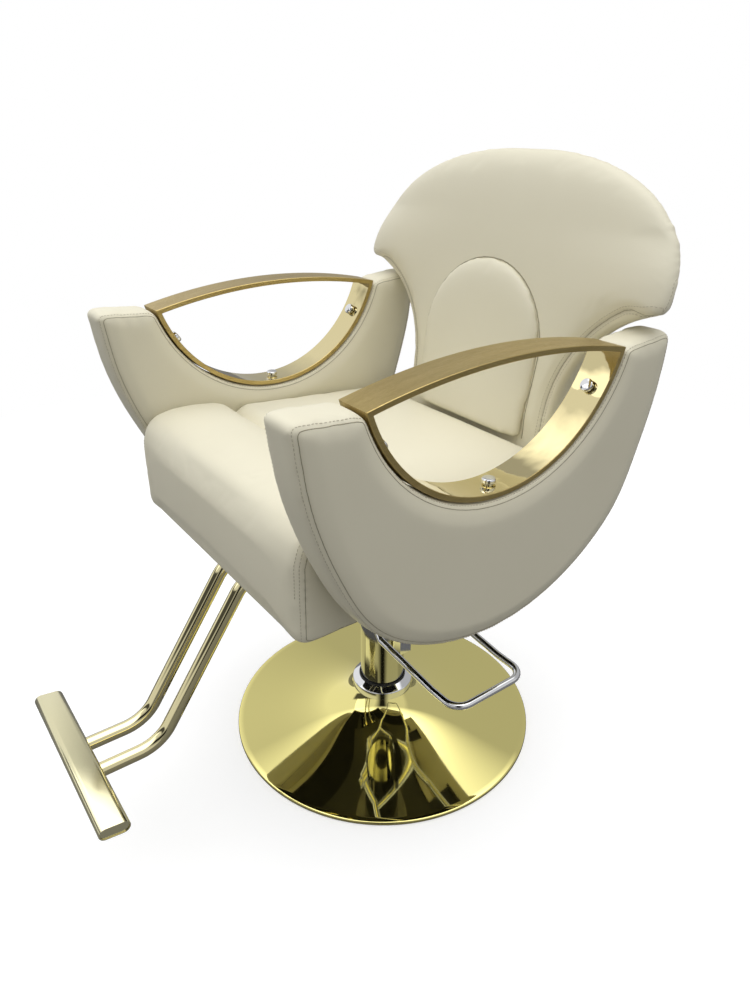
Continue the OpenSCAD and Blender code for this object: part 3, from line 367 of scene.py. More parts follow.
def make_mesh(name, points, faces, finish, body, slot, sharp=30, stands_for=()):
    """A mesh piece that rides on a body, smooth but for edges sharper than an angle."""
    mesh = bpy.data.meshes.new(name)
    mesh.from_pydata([tuple(p) for p in points], [], faces)
    mesh.validate()
    mesh.shade_smooth()
    mesh.set_sharp_from_angle(angle=math.radians(sharp))
    for material in finish if isinstance(finish, (list, tuple)) else [finish]:
        mesh.materials.append(material)
    piece = bpy.data.objects.new(name, mesh)
    bpy.context.scene.collection.objects.link(piece)
    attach(piece, body)
    if stands_for:
        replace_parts(piece, *stands_for)
    return piece


def loft_faces(rings, size, wrap=False, caps=True):
    """Faces between rings of equal size, with end caps, or wrapped round to the first ring."""
    faces = []
    for k in range(rings if wrap else rings - 1):
        a, b = k * size, (k + 1) % rings * size
        faces += [(a + i, a + (i + 1) % size, b + (i + 1) % size, b + i) for i in range(size)]
    if caps and not wrap:
        faces += [tuple(range(size))[::-1], tuple(range((rings - 1) * size, rings * size))]
    return faces


def spin(profile, segments=160):
    """Points and faces of a closed (radius, height) profile spun round the Z axis."""
    points = [(r * math.cos(a), r * math.sin(a), z)
              for a in (2 * math.pi * k / segments for k in range(segments)) for r, z in profile]
    return points, [f[::-1] for f in loft_faces(segments, len(profile), wrap=True)]


def turned(outline, radii, steps, segments=160):
    """A turned part from its (radius, height) outline, with each corner rounded by its own radius."""
    profile = rounded([Vector((*p, 0)) for p in outline], radii, steps, True)
    return spin([(p.x, p.y) for p in profile], segments)


def sweep(path, radius, sides=24, wrap=False):
    """Points and faces of a round tube along a path, turned as little as possible."""
    points, across = [], None
    radii = radius if isinstance(radius, list) else [radius] * len(path)
    for k, here in enumerate(path):
        nxt, prv = path[(k + 1) % len(path)], path[k - 1]
        if wrap or 0 < k < len(path) - 1:
            along = (nxt - prv).normalized()
        else:
            along = (nxt - here if k == 0 else here - prv).normalized()
        if across is None:
            across = along.orthogonal().normalized()
        across = (across - along * across.dot(along)).normalized()
        side = along.cross(across)
        points += [here + (across * math.cos(a) + side * math.sin(a)) * radii[k]
                   for a in (2 * math.pi * s / sides for s in range(sides))]
    return points, loft_faces(len(path), sides, wrap=wrap)


def join(*parts):
    """Puts several lots of points and faces into one."""
    points, faces = [], []
    for more_points, more_faces in parts:
        faces += [tuple(i + len(points) for i in f) for f in more_faces]
        points += list(more_points)
    return points, faces


def moved(part, matrix):
    """The same points and faces carried by a matrix."""
    return [matrix @ Vector(p) for p in part[0]], part[1]


def box_middle(name):
    """Lowest corner, highest corner and middle of a CAD node."""
    low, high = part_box(name)
    return low, high, (low + high) / 2


print("tools ready")

# %% [markdown]
# ## The base: a spun trumpet in mirror gold
# The sheet is spun over a former, so its height falls with one over the radius: steep at the neck, nearly
# flat at the rim. The mirror finish shows that curve, so the profile is drawn with many rings.

# %% Base shell
base_low, base_high, _ = box_middle("base_shell")
BASE_R, NECK_R, NECK_H, RIM_H, SHELL_WALL = base_high.x, 0.046, base_high.z, 0.008, 0.002
TRUMPET_STEPS = 60
trumpet_k = (NECK_H - RIM_H) / (1 / NECK_R - 1 / BASE_R)


def trumpet(r):
    """Height of the shell's outside at a radius."""
    return trumpet_k / r + RIM_H - trumpet_k / BASE_R


LIP_ROLL, LIP_FOOT, LIP_BREAK, BASE_SEGMENTS = 0.0028, 0.0022, 0.0008, 256
radii = [NECK_R * ((BASE_R - LIP_ROLL) / NECK_R) ** (k / TRUMPET_STEPS) for k in range(TRUMPET_STEPS + 1)]
outside = [(r, trumpet(r)) for r in radii]
roll = [(BASE_R - LIP_ROLL + LIP_ROLL * math.sin(a), trumpet(BASE_R) - LIP_ROLL + LIP_ROLL * math.cos(a))
        for a in (math.radians(d) for d in (20, 40, 60, 80, 90))]
lip = [(BASE_R, LIP_FOOT), (BASE_R - LIP_BREAK, base_low.z), (BASE_R - SHELL_WALL, base_low.z)]
inside = [(r - (SHELL_WALL if r == radii[0] else 0), trumpet(r) - SHELL_WALL) for r in reversed(radii)]
neck_end = [(NECK_R - SHELL_WALL, NECK_H)]
points, faces = spin(outside + roll + lip + inside + neck_end, BASE_SEGMENTS)
make_mesh("base_shell_gold", points, faces, mirror_gold, "base", "polished_gold", 35, ["base_shell"])
print("base shell", len(faces), "faces, neck height", round(NECK_H, 4))

# %% [markdown]
# ## Collar, gasket and column
# The chrome collar has a conical top that runs up to a black rubber ring, and its corners are softly
# broken. On chrome, broken edges matter most: they give the thin bright lines of a real turned part.

# %% Collar, gasket and column
collar_low, collar_high, _ = box_middle("base_collar")
gasket_low, gasket_high, _ = box_middle("collar_gasket")
column_low, column_high, _ = box_middle("column_tube")
COLLAR_R, COLLAR_SIDE, GASKET_R, COLUMN_R = collar_high.x, 0.0155, gasket_high.x, column_high.x
COLLAR_BORE, EDGE = COLUMN_R + 0.0035, 0.0012
collar_outline = [(COLLAR_BORE, collar_low.z), (COLLAR_R - EDGE, collar_low.z),
                  (COLLAR_R, collar_low.z + EDGE), (COLLAR_R, collar_low.z + COLLAR_SIDE),
                  (GASKET_R + EDGE, collar_high.z), (GASKET_R, collar_high.z),
                  (GASKET_R, gasket_low.z), (COLLAR_BORE, gasket_low.z)]
points, faces = turned(collar_outline, [0, 0.0004, 0.0005, 0.003, 0.0005, 0, 0, 0], 5)
make_mesh("collar_chrome", points, faces, chrome, "base", "chrome", 35, ["base_collar"])
GASKET_TOP, FOOT_GAP, LIP_GAP = gasket_high.z + 0.0035, 0.0004, 0.0002
gasket_outline = [(COLUMN_R + FOOT_GAP, gasket_low.z), (GASKET_R, gasket_low.z),
                  (GASKET_R, GASKET_TOP), (COLUMN_R + LIP_GAP, GASKET_TOP)]
points, faces = turned(gasket_outline, [0, 0, 0.0009, 0.0005], 5)
make_mesh("collar_ring", points, faces, rubber, "base", "black_rubber", 35, ["collar_gasket"])
COLUMN_BORE, COLUMN_BREAK = COLUMN_R - 0.0035, 0.0008
column_outline = [(COLUMN_BORE, column_low.z), (COLUMN_R - COLUMN_BREAK, column_low.z),
                  (COLUMN_R, column_low.z + COLUMN_BREAK), (COLUMN_R, column_high.z),
                  (COLUMN_BORE, column_high.z)]
points, faces = spin(column_outline)
make_mesh("column_skin", points, faces, column_chrome, "carriage", "chrome", 35, ["column_tube"])
print("column", round(2 * COLUMN_R, 4), "wide and", round(column_high.z - column_low.z, 3), "long")

# %% [markdown]
# ## The pump lever
# One chrome rod is bent into a loop: two arms leave the hubs, spread, kink level and meet in the pedal.
# The path is a list of corners with real bend radii, and the rod is swept along it in one go.

# %% Lever rod, hubs and cam bar
_, lever_high, _ = box_middle("lever_rod")
PIVOT_Z, LEVER_R, HUB_MID, HUB_HALF, HUB_R = 0.262, 0.006, 0.0545, 0.0065, 0.011
PEDAL_X, HALF_SPAN, PEDAL_DROP = lever_high.x - LEVER_R, lever_high.y - LEVER_R, 0.022
BEND_1, BEND_2, PEDAL_LEN = 0.048, 0.092, 0.058
arm_route = [(HUB_R / 2, HUB_MID, 0), (BEND_1, HUB_MID, -PEDAL_DROP / 5),
             (BEND_2, HALF_SPAN, -PEDAL_DROP / 2.75), (PEDAL_X - PEDAL_LEN, HALF_SPAN, -PEDAL_DROP),
             (PEDAL_X, HALF_SPAN, -PEDAL_DROP)]
loop = [Vector((x, y, z + PIVOT_Z)) for x, y, z in arm_route]
loop += [Vector((p.x, -p.y, p.z)) for p in reversed(loop)]
path = rounded(loop, [0, 0.02, 0.02, 0.03, 0.027, 0.027, 0.03, 0.02, 0.02, 0], 9)
HUB_EDGE, PIN_R, CAM_X, CAM_R, CAM_DROP = 0.0012, 0.0041, 0.058, 0.005, 0.00522
hub_outline = [(PIN_R, -HUB_HALF), (HUB_R - HUB_EDGE, -HUB_HALF), (HUB_R, HUB_EDGE - HUB_HALF),
               (HUB_R, HUB_HALF - HUB_EDGE), (HUB_R - HUB_EDGE, HUB_HALF), (PIN_R, HUB_HALF)]
hubs = [moved(spin(hub_outline, 48), Matrix.Translation((0, side * HUB_MID, PIVOT_Z)) @
              Matrix.Rotation(math.pi / 2, 4, "X")) for side in (-1, 1)]
CAM_HALF = HUB_MID + 0.004
cam = sweep([Vector((CAM_X, side * CAM_HALF, PIVOT_Z - CAM_DROP)) for side in (-1, 1)], CAM_R)
points, faces = join(sweep(path, LEVER_R, 28), cam, *hubs)
make_mesh("lever_loop", points, faces, chrome, "lever", "chrome", 35, ["lever_rod"])
print("lever reach", round(PEDAL_X, 3), "over", len(path), "path points")

# %% [markdown]
# ## The footrest: two bent tubes and a bar
# The tubes run from the plate under the seat, slope down and turn level into the bar.
# The bar is a flat oval tube with a soft front edge, closed by an oval plate that sits just inside its end.

# %% Footrest tubes
_, bar_high, bar_mid = box_middle("foot_bar")
tube_low, tube_high, tube_mid = box_middle("left_foot_tube")
FOOT_R = 0.0215 / 2
LOW_Z, HIGH_Z = tube_low.z + FOOT_R, tube_high.z - FOOT_R
CORNER_Y, SLOPE, FOOT_BEND, INTO_BAR = -0.445, math.radians(55), 0.062, 0.016
top_y = CORNER_Y + (HIGH_Z - LOW_Z) / math.tan(SLOPE)
for side, node in ((1, "left_foot_tube"), (-1, "right_foot_tube")):
    x = side * tube_mid.x
    path = rounded([(x, bar_mid.y + INTO_BAR, LOW_Z), (x, CORNER_Y, LOW_Z), (x, top_y, HIGH_Z),
                    (x, tube_high.y, HIGH_Z)], FOOT_BEND, 14)
    points, faces = sweep(path, FOOT_R, 40)
    make_mesh(node.replace("foot_tube", "tube_gold"), points, faces, tube_gold, "carriage",
              "polished_gold", 35, [node])
print("footrest tubes slope", round(math.degrees(SLOPE)), "degrees to y", round(top_y, 3))

# %% Foot bar and its ends
BAR_W, BAR_H, BAR_TILT, BAR_EDGE = 0.043, 0.020, math.radians(8), 0.0009


def oval(width, height, steps=14):
    """Points of a flat oval: two half circles and two flats."""
    r, flat = height / 2, (width - height) / 2
    return [Vector((0, side * (flat + r * math.cos(a)), side * r * math.sin(a)))
            for side in (1, -1) for a in (math.pi * (k / steps - 0.5) for k in range(steps + 1))]


half_bar = bar_high.x
END_WALL, END_DEPTH = 0.0018, 0.003
PLATE_STEPS = [(0.0002, 0.0020), (0.0010, 0.0020), (0.0014, 0.0025)]
stations = [(-half_bar + END_DEPTH, END_WALL), (-half_bar, END_WALL), (-half_bar, BAR_EDGE),
            (-half_bar + BAR_EDGE / 3, BAR_EDGE / 3), (-half_bar + BAR_EDGE, 0)]
stations += [(-x, inset) for x, inset in reversed(stations)]
bar_points = [Vector((x, 0, 0)) + p for x, inset in stations
              for p in oval(BAR_W - 2 * inset, BAR_H - 2 * inset)]
tilted = Matrix.Translation((0, bar_mid.y, bar_mid.z)) @ Matrix.Rotation(-BAR_TILT, 4, "X")
size = len(oval(BAR_W, BAR_H))
bar_part = moved((bar_points, loft_faces(len(stations), size)), tilted)
make_mesh("foot_bar_gold", *bar_part, bar_gold, "carriage", "brushed_gold", 35, ["foot_bar"])
plates = []
for side in (-1, 1):
    plate = [Vector((side * (half_bar - END_DEPTH + x), 0, 0)) + p
             for x, inset in PLATE_STEPS for p in oval(BAR_W - 2 * inset, BAR_H - 2 * inset)]
    faces = loft_faces(len(PLATE_STEPS), size)
    plates.append(moved((plate, faces if side > 0 else [f[::-1] for f in faces]), tilted))
make_mesh("foot_bar_plates", *join(*plates), bar_gold, "carriage", "brushed_gold", 35,
          ["foot_bar_ends"])
print("foot bar", round(2 * half_bar, 3), "long")

# %% [markdown]
# ## Gold arm frames
# Each frame is a lens of two arcs made from a flat bar: brushed on its top and sides, mirror bright inside
# the lower arc. The section is a bar with broken edges, carried round the lens, and its corners mitre by
# themselves because the inside and outside arcs each keep their own ends.

# %% Lens arcs
frame_low, frame_high, frame_mid = box_middle("left_arm_frame")
STRIP, LENS_RISE, FRAME_EDGE = 0.0075, 0.024, 0.0008
LENS_HALF, ARM_X, ARM_Y = (frame_high.y - frame_low.y) / 2, frame_mid.x, frame_mid.y
LENS_END_Z = frame_high.z - LENS_RISE
LENS_DROP = LENS_END_Z - frame_low.z
LOW_R = (LENS_HALF ** 2 + LENS_DROP ** 2) / (2 * LENS_DROP)
TOP_R = (LENS_HALF ** 2 + LENS_RISE ** 2) / (2 * LENS_RISE)
LOW_C, TOP_C = LENS_END_Z - LENS_DROP + LOW_R, LENS_END_Z + LENS_RISE - TOP_R


def lens_arcs(inset, steps):
    """The lens drawn in by an inset, as (y, z): the lower arc to the rear, then the upper arc back."""
    low_r, top_r, apart = LOW_R - inset, TOP_R - inset, LOW_C - TOP_C
    height = (top_r ** 2 - low_r ** 2 + apart ** 2) / (2 * apart) + TOP_C
    low_turn = math.acos((LOW_C - height) / low_r)
    top_turn = math.acos((height - TOP_C) / top_r)
    low = [(ARM_Y + low_r * math.sin(a), LOW_C - low_r * math.cos(a))
           for a in (low_turn * (2 * k / steps - 1) for k in range(steps))]
    top = [(ARM_Y + top_r * math.sin(a), TOP_C + top_r * math.cos(a))
           for a in (top_turn * (1 - 2 * k / steps) for k in range(steps))]
    return low + top


LENS_STEPS, SECTION_POINTS, INNER_FACE = 72, 8, 2
outer, inner = lens_arcs(0, LENS_STEPS), lens_arcs(STRIP, LENS_STEPS)
FRAME_HALF = (frame_high.x - frame_low.x) / 2


def frame_section(out, inn, x):
    """Eight points of the flat bar's section between the outer and inner arcs."""
    o, i = Vector((x, *out)), Vector((x, *inn))
    step, e, w = (i - o).normalized() * FRAME_EDGE, FRAME_EDGE, FRAME_HALF
    return [o + step + Vector((-w, 0, 0)), i - step + Vector((-w, 0, 0)), i + Vector((e - w, 0, 0)),
            i + Vector((w - e, 0, 0)), i - step + Vector((w, 0, 0)), o + step + Vector((w, 0, 0)),
            o + Vector((w - e, 0, 0)), o + Vector((e - w, 0, 0))]


for side, node in ((1, "left_arm_frame"), (-1, "right_arm_frame")):
    points = [p for o, i in zip(outer, inner) for p in frame_section(o, i, side * ARM_X)]
    faces = loft_faces(2 * LENS_STEPS, SECTION_POINTS, wrap=True)
    piece = make_mesh(node.replace("arm_frame", "lens_frame"), points, faces,
                      [antique_gold, strip_gold], "carriage", "brushed_gold", 25, [node])
    for k, polygon in enumerate(piece.data.polygons):
        if k % SECTION_POINTS == INNER_FACE and k // SECTION_POINTS < LENS_STEPS:
            polygon.material_index = 1
print("lens", round(2 * LENS_HALF, 3), "long, low arc radius", round(LOW_R, 4))

# %% [markdown]
# ## Cap bolts
# Three chrome caps stand square to the lower arc of each frame. They are short barrels with a domed top
# on a thinner neck, the kind that hides a wood screw.

# %% Cap bolts in both frames
CAP_R, CAP_H, CAP_NECK_R, CAP_NECK_H, CAP_ANGLE = 0.0095, 0.007, 0.0055, 0.002, math.radians(56.5)
SHANK_R, SHANK_LEN = 0.004, 0.02
cap_outline = [(0.0001, -SHANK_LEN), (SHANK_R, -SHANK_LEN), (SHANK_R, 0.0001), (CAP_NECK_R, 0.0002),
               (CAP_NECK_R, CAP_NECK_H), (CAP_R - 0.001, CAP_NECK_H), (CAP_R, CAP_NECK_H + 0.001),
               (CAP_R, CAP_NECK_H + CAP_H * 0.7), (CAP_R - 0.0012, CAP_NECK_H + CAP_H * 0.93),
               (CAP_R * 0.55, CAP_NECK_H + CAP_H), (0.0001, CAP_NECK_H + CAP_H * 1.03)]
cap = turned(cap_outline, [0, 0, 0, 0, 0.0006, 0.0004, 0.0006, 0.0015, 0.0008, 0.002, 0], 4, 56)
for side, node in ((1, "left_cap_bolts"), (-1, "right_cap_bolts")):
    centre = Matrix.Translation((side * ARM_X, ARM_Y, LOW_C))
    caps = [moved(cap, centre @ Matrix.Rotation(turn, 4, "X") @ Matrix.Translation((0, 0, STRIP - LOW_R)))
            for turn in (-CAP_ANGLE, 0, CAP_ANGLE)]
    make_mesh(node.replace("bolts", "chrome"), *join(*caps), chrome, "carriage", "chrome", 35, [node])
print("caps per frame:", len(caps))

# %% [markdown]
# ## How the upholstery is made
# Padded leather bulges between its seams. Each pad starts as a smooth loft of the form and is remeshed into
# even squares. A cloth simulation alone would wrinkle and shrink it, so it gives a third of the swelling and
# the rest is even. Points near a seam move less, so the seams end up in shallow valleys. Then a thin folded
# edge, coloured dark as painted shade in the seam's gap, is laid in each seam and rows of stitches beside
# it.

# %% Blow up a pad between its seams
VOXEL, PUFF_FRAMES, PUFF_PRESSURE, CLOTH_SHARE = 0.005, 16, 4.0, 0.35
SEAM_REACH, SEAM_VALLEY, SEAM_WIDTH, FAR_FROM_SEAM = 0.022, 0.0012, 0.0032, 1


def active(piece):
    """Makes a piece the only selected and active one."""
    bpy.ops.object.select_all(action="DESELECT")
    piece.select_set(True)
    bpy.context.view_layer.objects.active = piece


def remesh(piece, size):
    """Even squares all over a closed mesh, with the corners eased."""
    active(piece)
    modifier = piece.modifiers.new("voxels", "REMESH")
    modifier.mode, modifier.voxel_size = "VOXEL", size
    bpy.ops.object.modifier_apply(modifier=modifier.name)
    ease = piece.modifiers.new("ease", "CORRECTIVE_SMOOTH")
    ease.iterations, ease.use_only_smooth = 6, True
    bpy.ops.object.modifier_apply(modifier=ease.name)


def simulate(piece):
    """Runs the cloth with inner pressure and gives back where its points went."""
    cloth = piece.modifiers.new("cloth", "CLOTH")
    cloth.settings.use_pressure, cloth.settings.uniform_pressure_force = True, PUFF_PRESSURE
    cloth.settings.effector_weights.gravity = 0
    cloth.settings.quality = 5
    cloth.settings.tension_stiffness = cloth.settings.compression_stiffness = 25
    cloth.settings.shear_stiffness, cloth.settings.bending_stiffness = 15, 2
    cloth.point_cache.frame_start, cloth.point_cache.frame_end = 1, PUFF_FRAMES
    for step in range(1, PUFF_FRAMES + 1):
        bpy.context.scene.frame_set(step)
    shown = piece.evaluated_get(bpy.context.evaluated_depsgraph_get())
    after = [v.co.copy() for v in shown.data.vertices]
    piece.modifiers.remove(cloth)
    bpy.context.scene.frame_set(1)
    return after


def seam_tree(lines):
    """Search tree of points along the seam lines, or None without seams."""
    spots = [a.lerp(b, s / 3) for line in lines for a, b in zip(line, line[1:]) for s in range(3)]
    if not spots:
        return None
    tree = kdtree.KDTree(len(spots))
    for k, p in enumerate(spots):
        tree.insert(p, k)
    tree.balance()
    return tree


def ease_step(t):
    """Smooth step from 0 to 1."""
    t = min(max(t, 0), 1)
    return t * t * (3 - 2 * t)


def points_of(piece):
    """Copies of a piece's points and of their normals."""
    return [v.co.copy() for v in piece.data.vertices], [v.normal.copy() for v in piece.data.vertices]


def puff(piece, cap, seams, hold, reach=SEAM_REACH):
    """Remeshes and blows up a pad, part even swelling and part cloth.

    Points move at most cap, less near a seam, and only by the share that hold gives.
    """
    remesh(piece, VOXEL)
    tree = seam_tree(seams)
    before, normals = points_of(piece)
    after = simulate(piece)
    placed = []
    for k, (start, normal) in enumerate(zip(before, normals)):
        near = tree.find(start)[2] if tree else FAR_FROM_SEAM
        share = ease_step(near / reach) * hold(start, normal)
        move = normal * cap
        if after:
            blown = after[k] - start
            move = move.lerp(blown * min(1, cap / max(blown.length, 1e-6)), CLOTH_SHARE)
        placed += list(start + move * share)
    piece.data.vertices.foreach_set("co", placed)
    piece.data.update()
    active(piece)
    fine = piece.modifiers.new("fine", "SUBSURF")
    fine.levels = 1
    bpy.ops.object.modifier_apply(modifier=fine.name)
    marks, placed = [], []
    for point, normal in zip(*points_of(piece)):
        near = tree.find(point)[2] if tree else FAR_FROM_SEAM
        marks.append(math.exp(-min(near / SEAM_WIDTH, 9) ** 2))
        placed += list(point - normal * SEAM_VALLEY * marks[-1])
    piece.data.vertices.foreach_set("co", placed)
    piece.data.attributes.new("seam", "FLOAT", "POINT").data.foreach_set("value", marks)
    piece.data.shade_smooth()
    piece.data.update()


def leather_pad(name, rings, nodes, cap, seams, hold, reach=SEAM_REACH):
    """A padded leather piece from lofted rings."""
    faces = loft_faces(len(rings), len(rings[0]))
    piece = make_mesh(name, [p for ring in rings for p in ring], faces, cream_leather, "carriage",
                      "cream_leather", 60, nodes)
    puff(piece, cap, seams, hold, reach)
    print(name, len(piece.data.polygons), "faces")
    return piece


# %% Seam cords and rows of stitches
STITCH_LEN, STITCH_GAP, STITCH_R, CORD_R, CORD_STEP = 0.0034, 0.0016, 0.00045, 0.0006, 0.003
STITCH_SHAPE = [(0.0, 0.35, -0.6), (0.18, 0.9, 0.1), (0.5, 1.0, 0.45), (0.82, 0.9, 0.1), (1.0, 0.35, -0.6)]


def skin_of(piece):
    """Search tree of a piece's surface."""
    return BVHTree.FromPolygons([v.co for v in piece.data.vertices],
                                [p.vertices for p in piece.data.polygons])


def evenly(line, step):
    """Points along a line, a step apart."""
    out, left = [line[0].copy()], step
    for a, b in zip(line, line[1:]):
        length, at = (b - a).length, 0.0
        while length - at >= left:
            at += left
            left = step
            out.append(a.lerp(b, at / length))
        left -= length - at
    return out


def on_skin(skin, line, lift, step):
    """The line drawn onto the surface and lifted off it, with the surface's normals."""
    out = []
    for p in evenly(line, step):
        spot, normal, _, _ = skin.find_nearest(p)
        out.append((spot + normal * lift, normal))
    return out


def lay_cord(name, piece, lines, radius=CORD_R, sink=0.35):
    """The folded edge of the leather, seen as a thin cord half sunk in each seam and coloured dark as
    painted seam shadow.
    """
    skin, parts = skin_of(piece), []
    for line in lines:
        laid = [p for p, _ in on_skin(skin, line, -radius * sink, CORD_STEP)]
        wrap = (line[0] - line[-1]).length < CORD_STEP / 2
        parts.append(sweep(laid[:-1] if wrap else laid, radius, 6, wrap))
    return make_mesh(name, *join(*parts), seam_shadow_cord, "carriage", "cream_leather")


def lay_stitches(name, piece, lines):
    """Rows of short thread stitches on the surface, each dipping into the leather at both ends."""
    skin, parts = skin_of(piece), []
    for line in lines:
        laid = on_skin(skin, line, STITCH_R * 0.2, (STITCH_LEN + STITCH_GAP) / 4)
        for k in range(0, len(laid) - 3, 4):
            (a, na), (b, nb) = laid[k], laid[k + 3]
            path = [a + (b - a) * t + (na + nb) / 2 * STITCH_R * up for t, _, up in STITCH_SHAPE]
            parts.append(sweep(path, [STITCH_R * wide for _, wide, _ in STITCH_SHAPE], 5))
    made = make_mesh(name, *join(*parts), thread, "carriage", "cream_leather", 60)
    print(name, len(parts), "stitches")
    return made


# %% [markdown]
# ## The crescent arms
# An arm is a flat crescent: a round outer edge that runs up into two horns, and an inner edge that follows
# the gold frame. The outer edge isn't a true circle: in front and behind it is drawn in a little. Across the
# crescent the section is a rounded bar. Each face is a panel of its own, sewn to the edge band a little way
# in from the corner, so a closed seam runs round both faces.

# %% Crescent outline and sections
pad_low, pad_high, _ = box_middle("left_arm_pad")
ARM_R, ARM_HALF, ARM_TIP = (pad_high.y - pad_low.y) / 2, (pad_high.x - pad_low.x) / 2, pad_high.z
ARM_C = pad_low.z + ARM_R
ARM_EDGE_R, FRAME_GAP, ARM_STATIONS, EDGE_STEPS = 0.010, 0.0003, 110, 5
LOW_TURN = math.asin(LENS_HALF / LOW_R)
PAD_SHRINK = 0.0012
FRONT_PULL, REAR_PULL = (0.0205, 0.585, 0.245, 0.165), (-0.0140, 0.612, 0.175, 0.125)


def edge_pull(p):
    """How far the outer edge lies inside the true circle, most halfway up the front and the rear."""
    most, middle, above, below = FRONT_PULL if p.x < ARM_Y else REAR_PULL
    share = (p.y - middle) / (above if p.y > middle else below)
    return most * (0.5 + 0.5 * math.cos(math.pi * min(1.0, abs(share))))


def crescent(t, inset=0.0):
    """The crescent's outer and inner edge, as (y, z), at a share of the way from front to rear."""
    straight = (ARM_TIP - ARM_C) / ARM_R
    u = t * (math.pi + 2 * straight)
    if u < straight:
        out = Vector((ARM_Y - ARM_R, ARM_TIP - u * ARM_R))
    elif u > straight + math.pi:
        out = Vector((ARM_Y + ARM_R, ARM_C + (u - straight - math.pi) * ARM_R))
    else:
        a = u - straight - math.pi / 2
        out = Vector((ARM_Y + ARM_R * math.sin(a), ARM_C - ARM_R * math.cos(a)))
    a = (2 * t - 1) * LOW_TURN
    r = LOW_R + FRAME_GAP
    inn = Vector((ARM_Y + r * math.sin(a), LOW_C - r * math.cos(a)))
    out.x += edge_pull(out)
    across = (inn - out).normalized()
    return out + across * inset, inn - across * inset


def arm_section(t, inset, lift, x):
    """A rounded bar between the crescent's edges."""
    out, inn = crescent(t, PAD_SHRINK)
    across, r = (inn - out).normalized(), ARM_EDGE_R
    length, half = (inn - out).length, ARM_HALF - inset - PAD_SHRINK
    points = []
    for sx, far, first in ((1, 0, True), (1, 1, False), (-1, 1, True), (-1, 0, False)):
        for k in range(EDGE_STEPS + 1):
            a = math.pi / 2 * k / EDGE_STEPS
            a = a if first else math.pi / 2 - a
            d = length - inset - r * (1 - math.cos(a)) if far else inset + r * (1 - math.cos(a))
            p = out + across * d
            points.append(Vector((x + sx * (half - r + r * math.sin(a)), p.x, p.y + lift)))
    return points


def arm_rings(x):
    """All the sections of an arm, rounded over at both horns."""
    ends = [(ARM_EDGE_R * (1 - math.cos(a)) * 0.9, ARM_EDGE_R * math.sin(a))
            for a in (math.radians(d) for d in (90, 72, 54, 36, 18))]
    rings = [arm_section(0, inset, up - ARM_EDGE_R - PAD_SHRINK, x) for inset, up in ends]
    for k in range(ARM_STATIONS + 1):
        t = k / ARM_STATIONS
        rings.append(arm_section(t, 0, -ARM_EDGE_R - PAD_SHRINK if k in (0, ARM_STATIONS) else 0, x))
    return rings + [arm_section(1, inset, up - ARM_EDGE_R - PAD_SHRINK, x) for inset, up in reversed(ends)]


SEAM_OUT, SEAM_INN, SEAM_TOP, PANEL_ROUND = 0.0075, 0.0058, 0.0045, 0.009


def trimmed(line, top_in):
    """The line cut back at both ends, so that the panel stays below the horns' tops."""
    ends = []
    for way in (line, line[::-1]):
        k = next(k for k, p in enumerate(way) if (p - way[0]).length > top_in)
        ends.append(way[0] + (way[k] - way[0]).normalized() * top_in)
    kept = [p for p in line if min((p - e).length for e in ends) > PANEL_ROUND * 1.3 and
            min((p - line[k]).length for k in (0, -1)) > top_in]
    return [ends[0]] + kept + [ends[1]]


def face_loop(x, out_in, inn_in, top_in):
    """A closed line on one face of the arm, inset from both edges and from the horns' tops."""
    outer_line, inner_line = [], []
    for k in range(ARM_STATIONS + 1):
        out, inn = crescent(k / ARM_STATIONS)
        across = (inn - out).normalized()
        outer_line.append(out + across * out_in)
        inner_line.append(inn - across * inn_in)
    flat, radii = [], []
    for line in (trimmed(outer_line, top_in), trimmed(inner_line, top_in)[::-1]):
        flat += [Vector((p.x, p.y, 0)) for p in line]
        radii += [PANEL_ROUND] + [0] * (len(line) - 2) + [PANEL_ROUND]
    loop = [Vector((x, p.x, p.y)) for p in rounded(flat, radii, 6, True)]
    return loop + loop[:1]


print("arm radius", round(ARM_R, 3), "half thickness", round(ARM_HALF, 4))

# %% The left arm
FACES_X = (ARM_X - ARM_HALF, ARM_X + ARM_HALF)
FRAME_HOLD, SEAT_HOLD_TOP, SEAT_HOLD_FADE, SEAT_HOLD = 0.02, 0.600, 0.045, 0.88
ARM_SWELL, ARM_FILL = 0.0042, 0.85
arm_seams = [face_loop(x, SEAM_OUT, SEAM_INN, SEAM_TOP) for x in FACES_X]


def beside_seat(p, n):
    """Less padding where the arm is pressed against the seat and the gold frame."""
    out = Vector((p.y - ARM_Y, p.z - LOW_C)).length - LOW_R
    inner_hold = ease_step(out / FRAME_HOLD) if abs(n.x) < 0.8 and p.z < LENS_END_Z else 1
    against_seat = ease_step((SEAT_HOLD_TOP - p.z) / SEAT_HOLD_FADE) if n.x < -0.5 else 0
    return inner_hold * (1 - SEAT_HOLD * against_seat)


left_arm = leather_pad("left_arm", arm_rings(ARM_X), ["left_arm_pad"], ARM_SWELL, arm_seams, beside_seat)

# %% The right arm, and both arms' seams and stitches
STITCH_BAND, STITCH_INWARD = 0.0062, 0.004
mirror_x = Matrix.Scale(-1, 4, (1, 0, 0))


def mirrored(piece, name, nodes=()):
    """A mirror image of a finished piece across the middle of the chair."""
    twin = piece.copy()
    twin.data = piece.data.copy()
    twin.name = twin.data.name = name
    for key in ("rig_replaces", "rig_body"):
        if key in twin:
            del twin[key]
    bpy.context.scene.collection.objects.link(twin)
    twin.parent = None
    twin.data.transform(mirror_x)
    twin.data.flip_normals()
    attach(twin, "carriage")
    if nodes:
        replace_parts(twin, *nodes)
    return twin


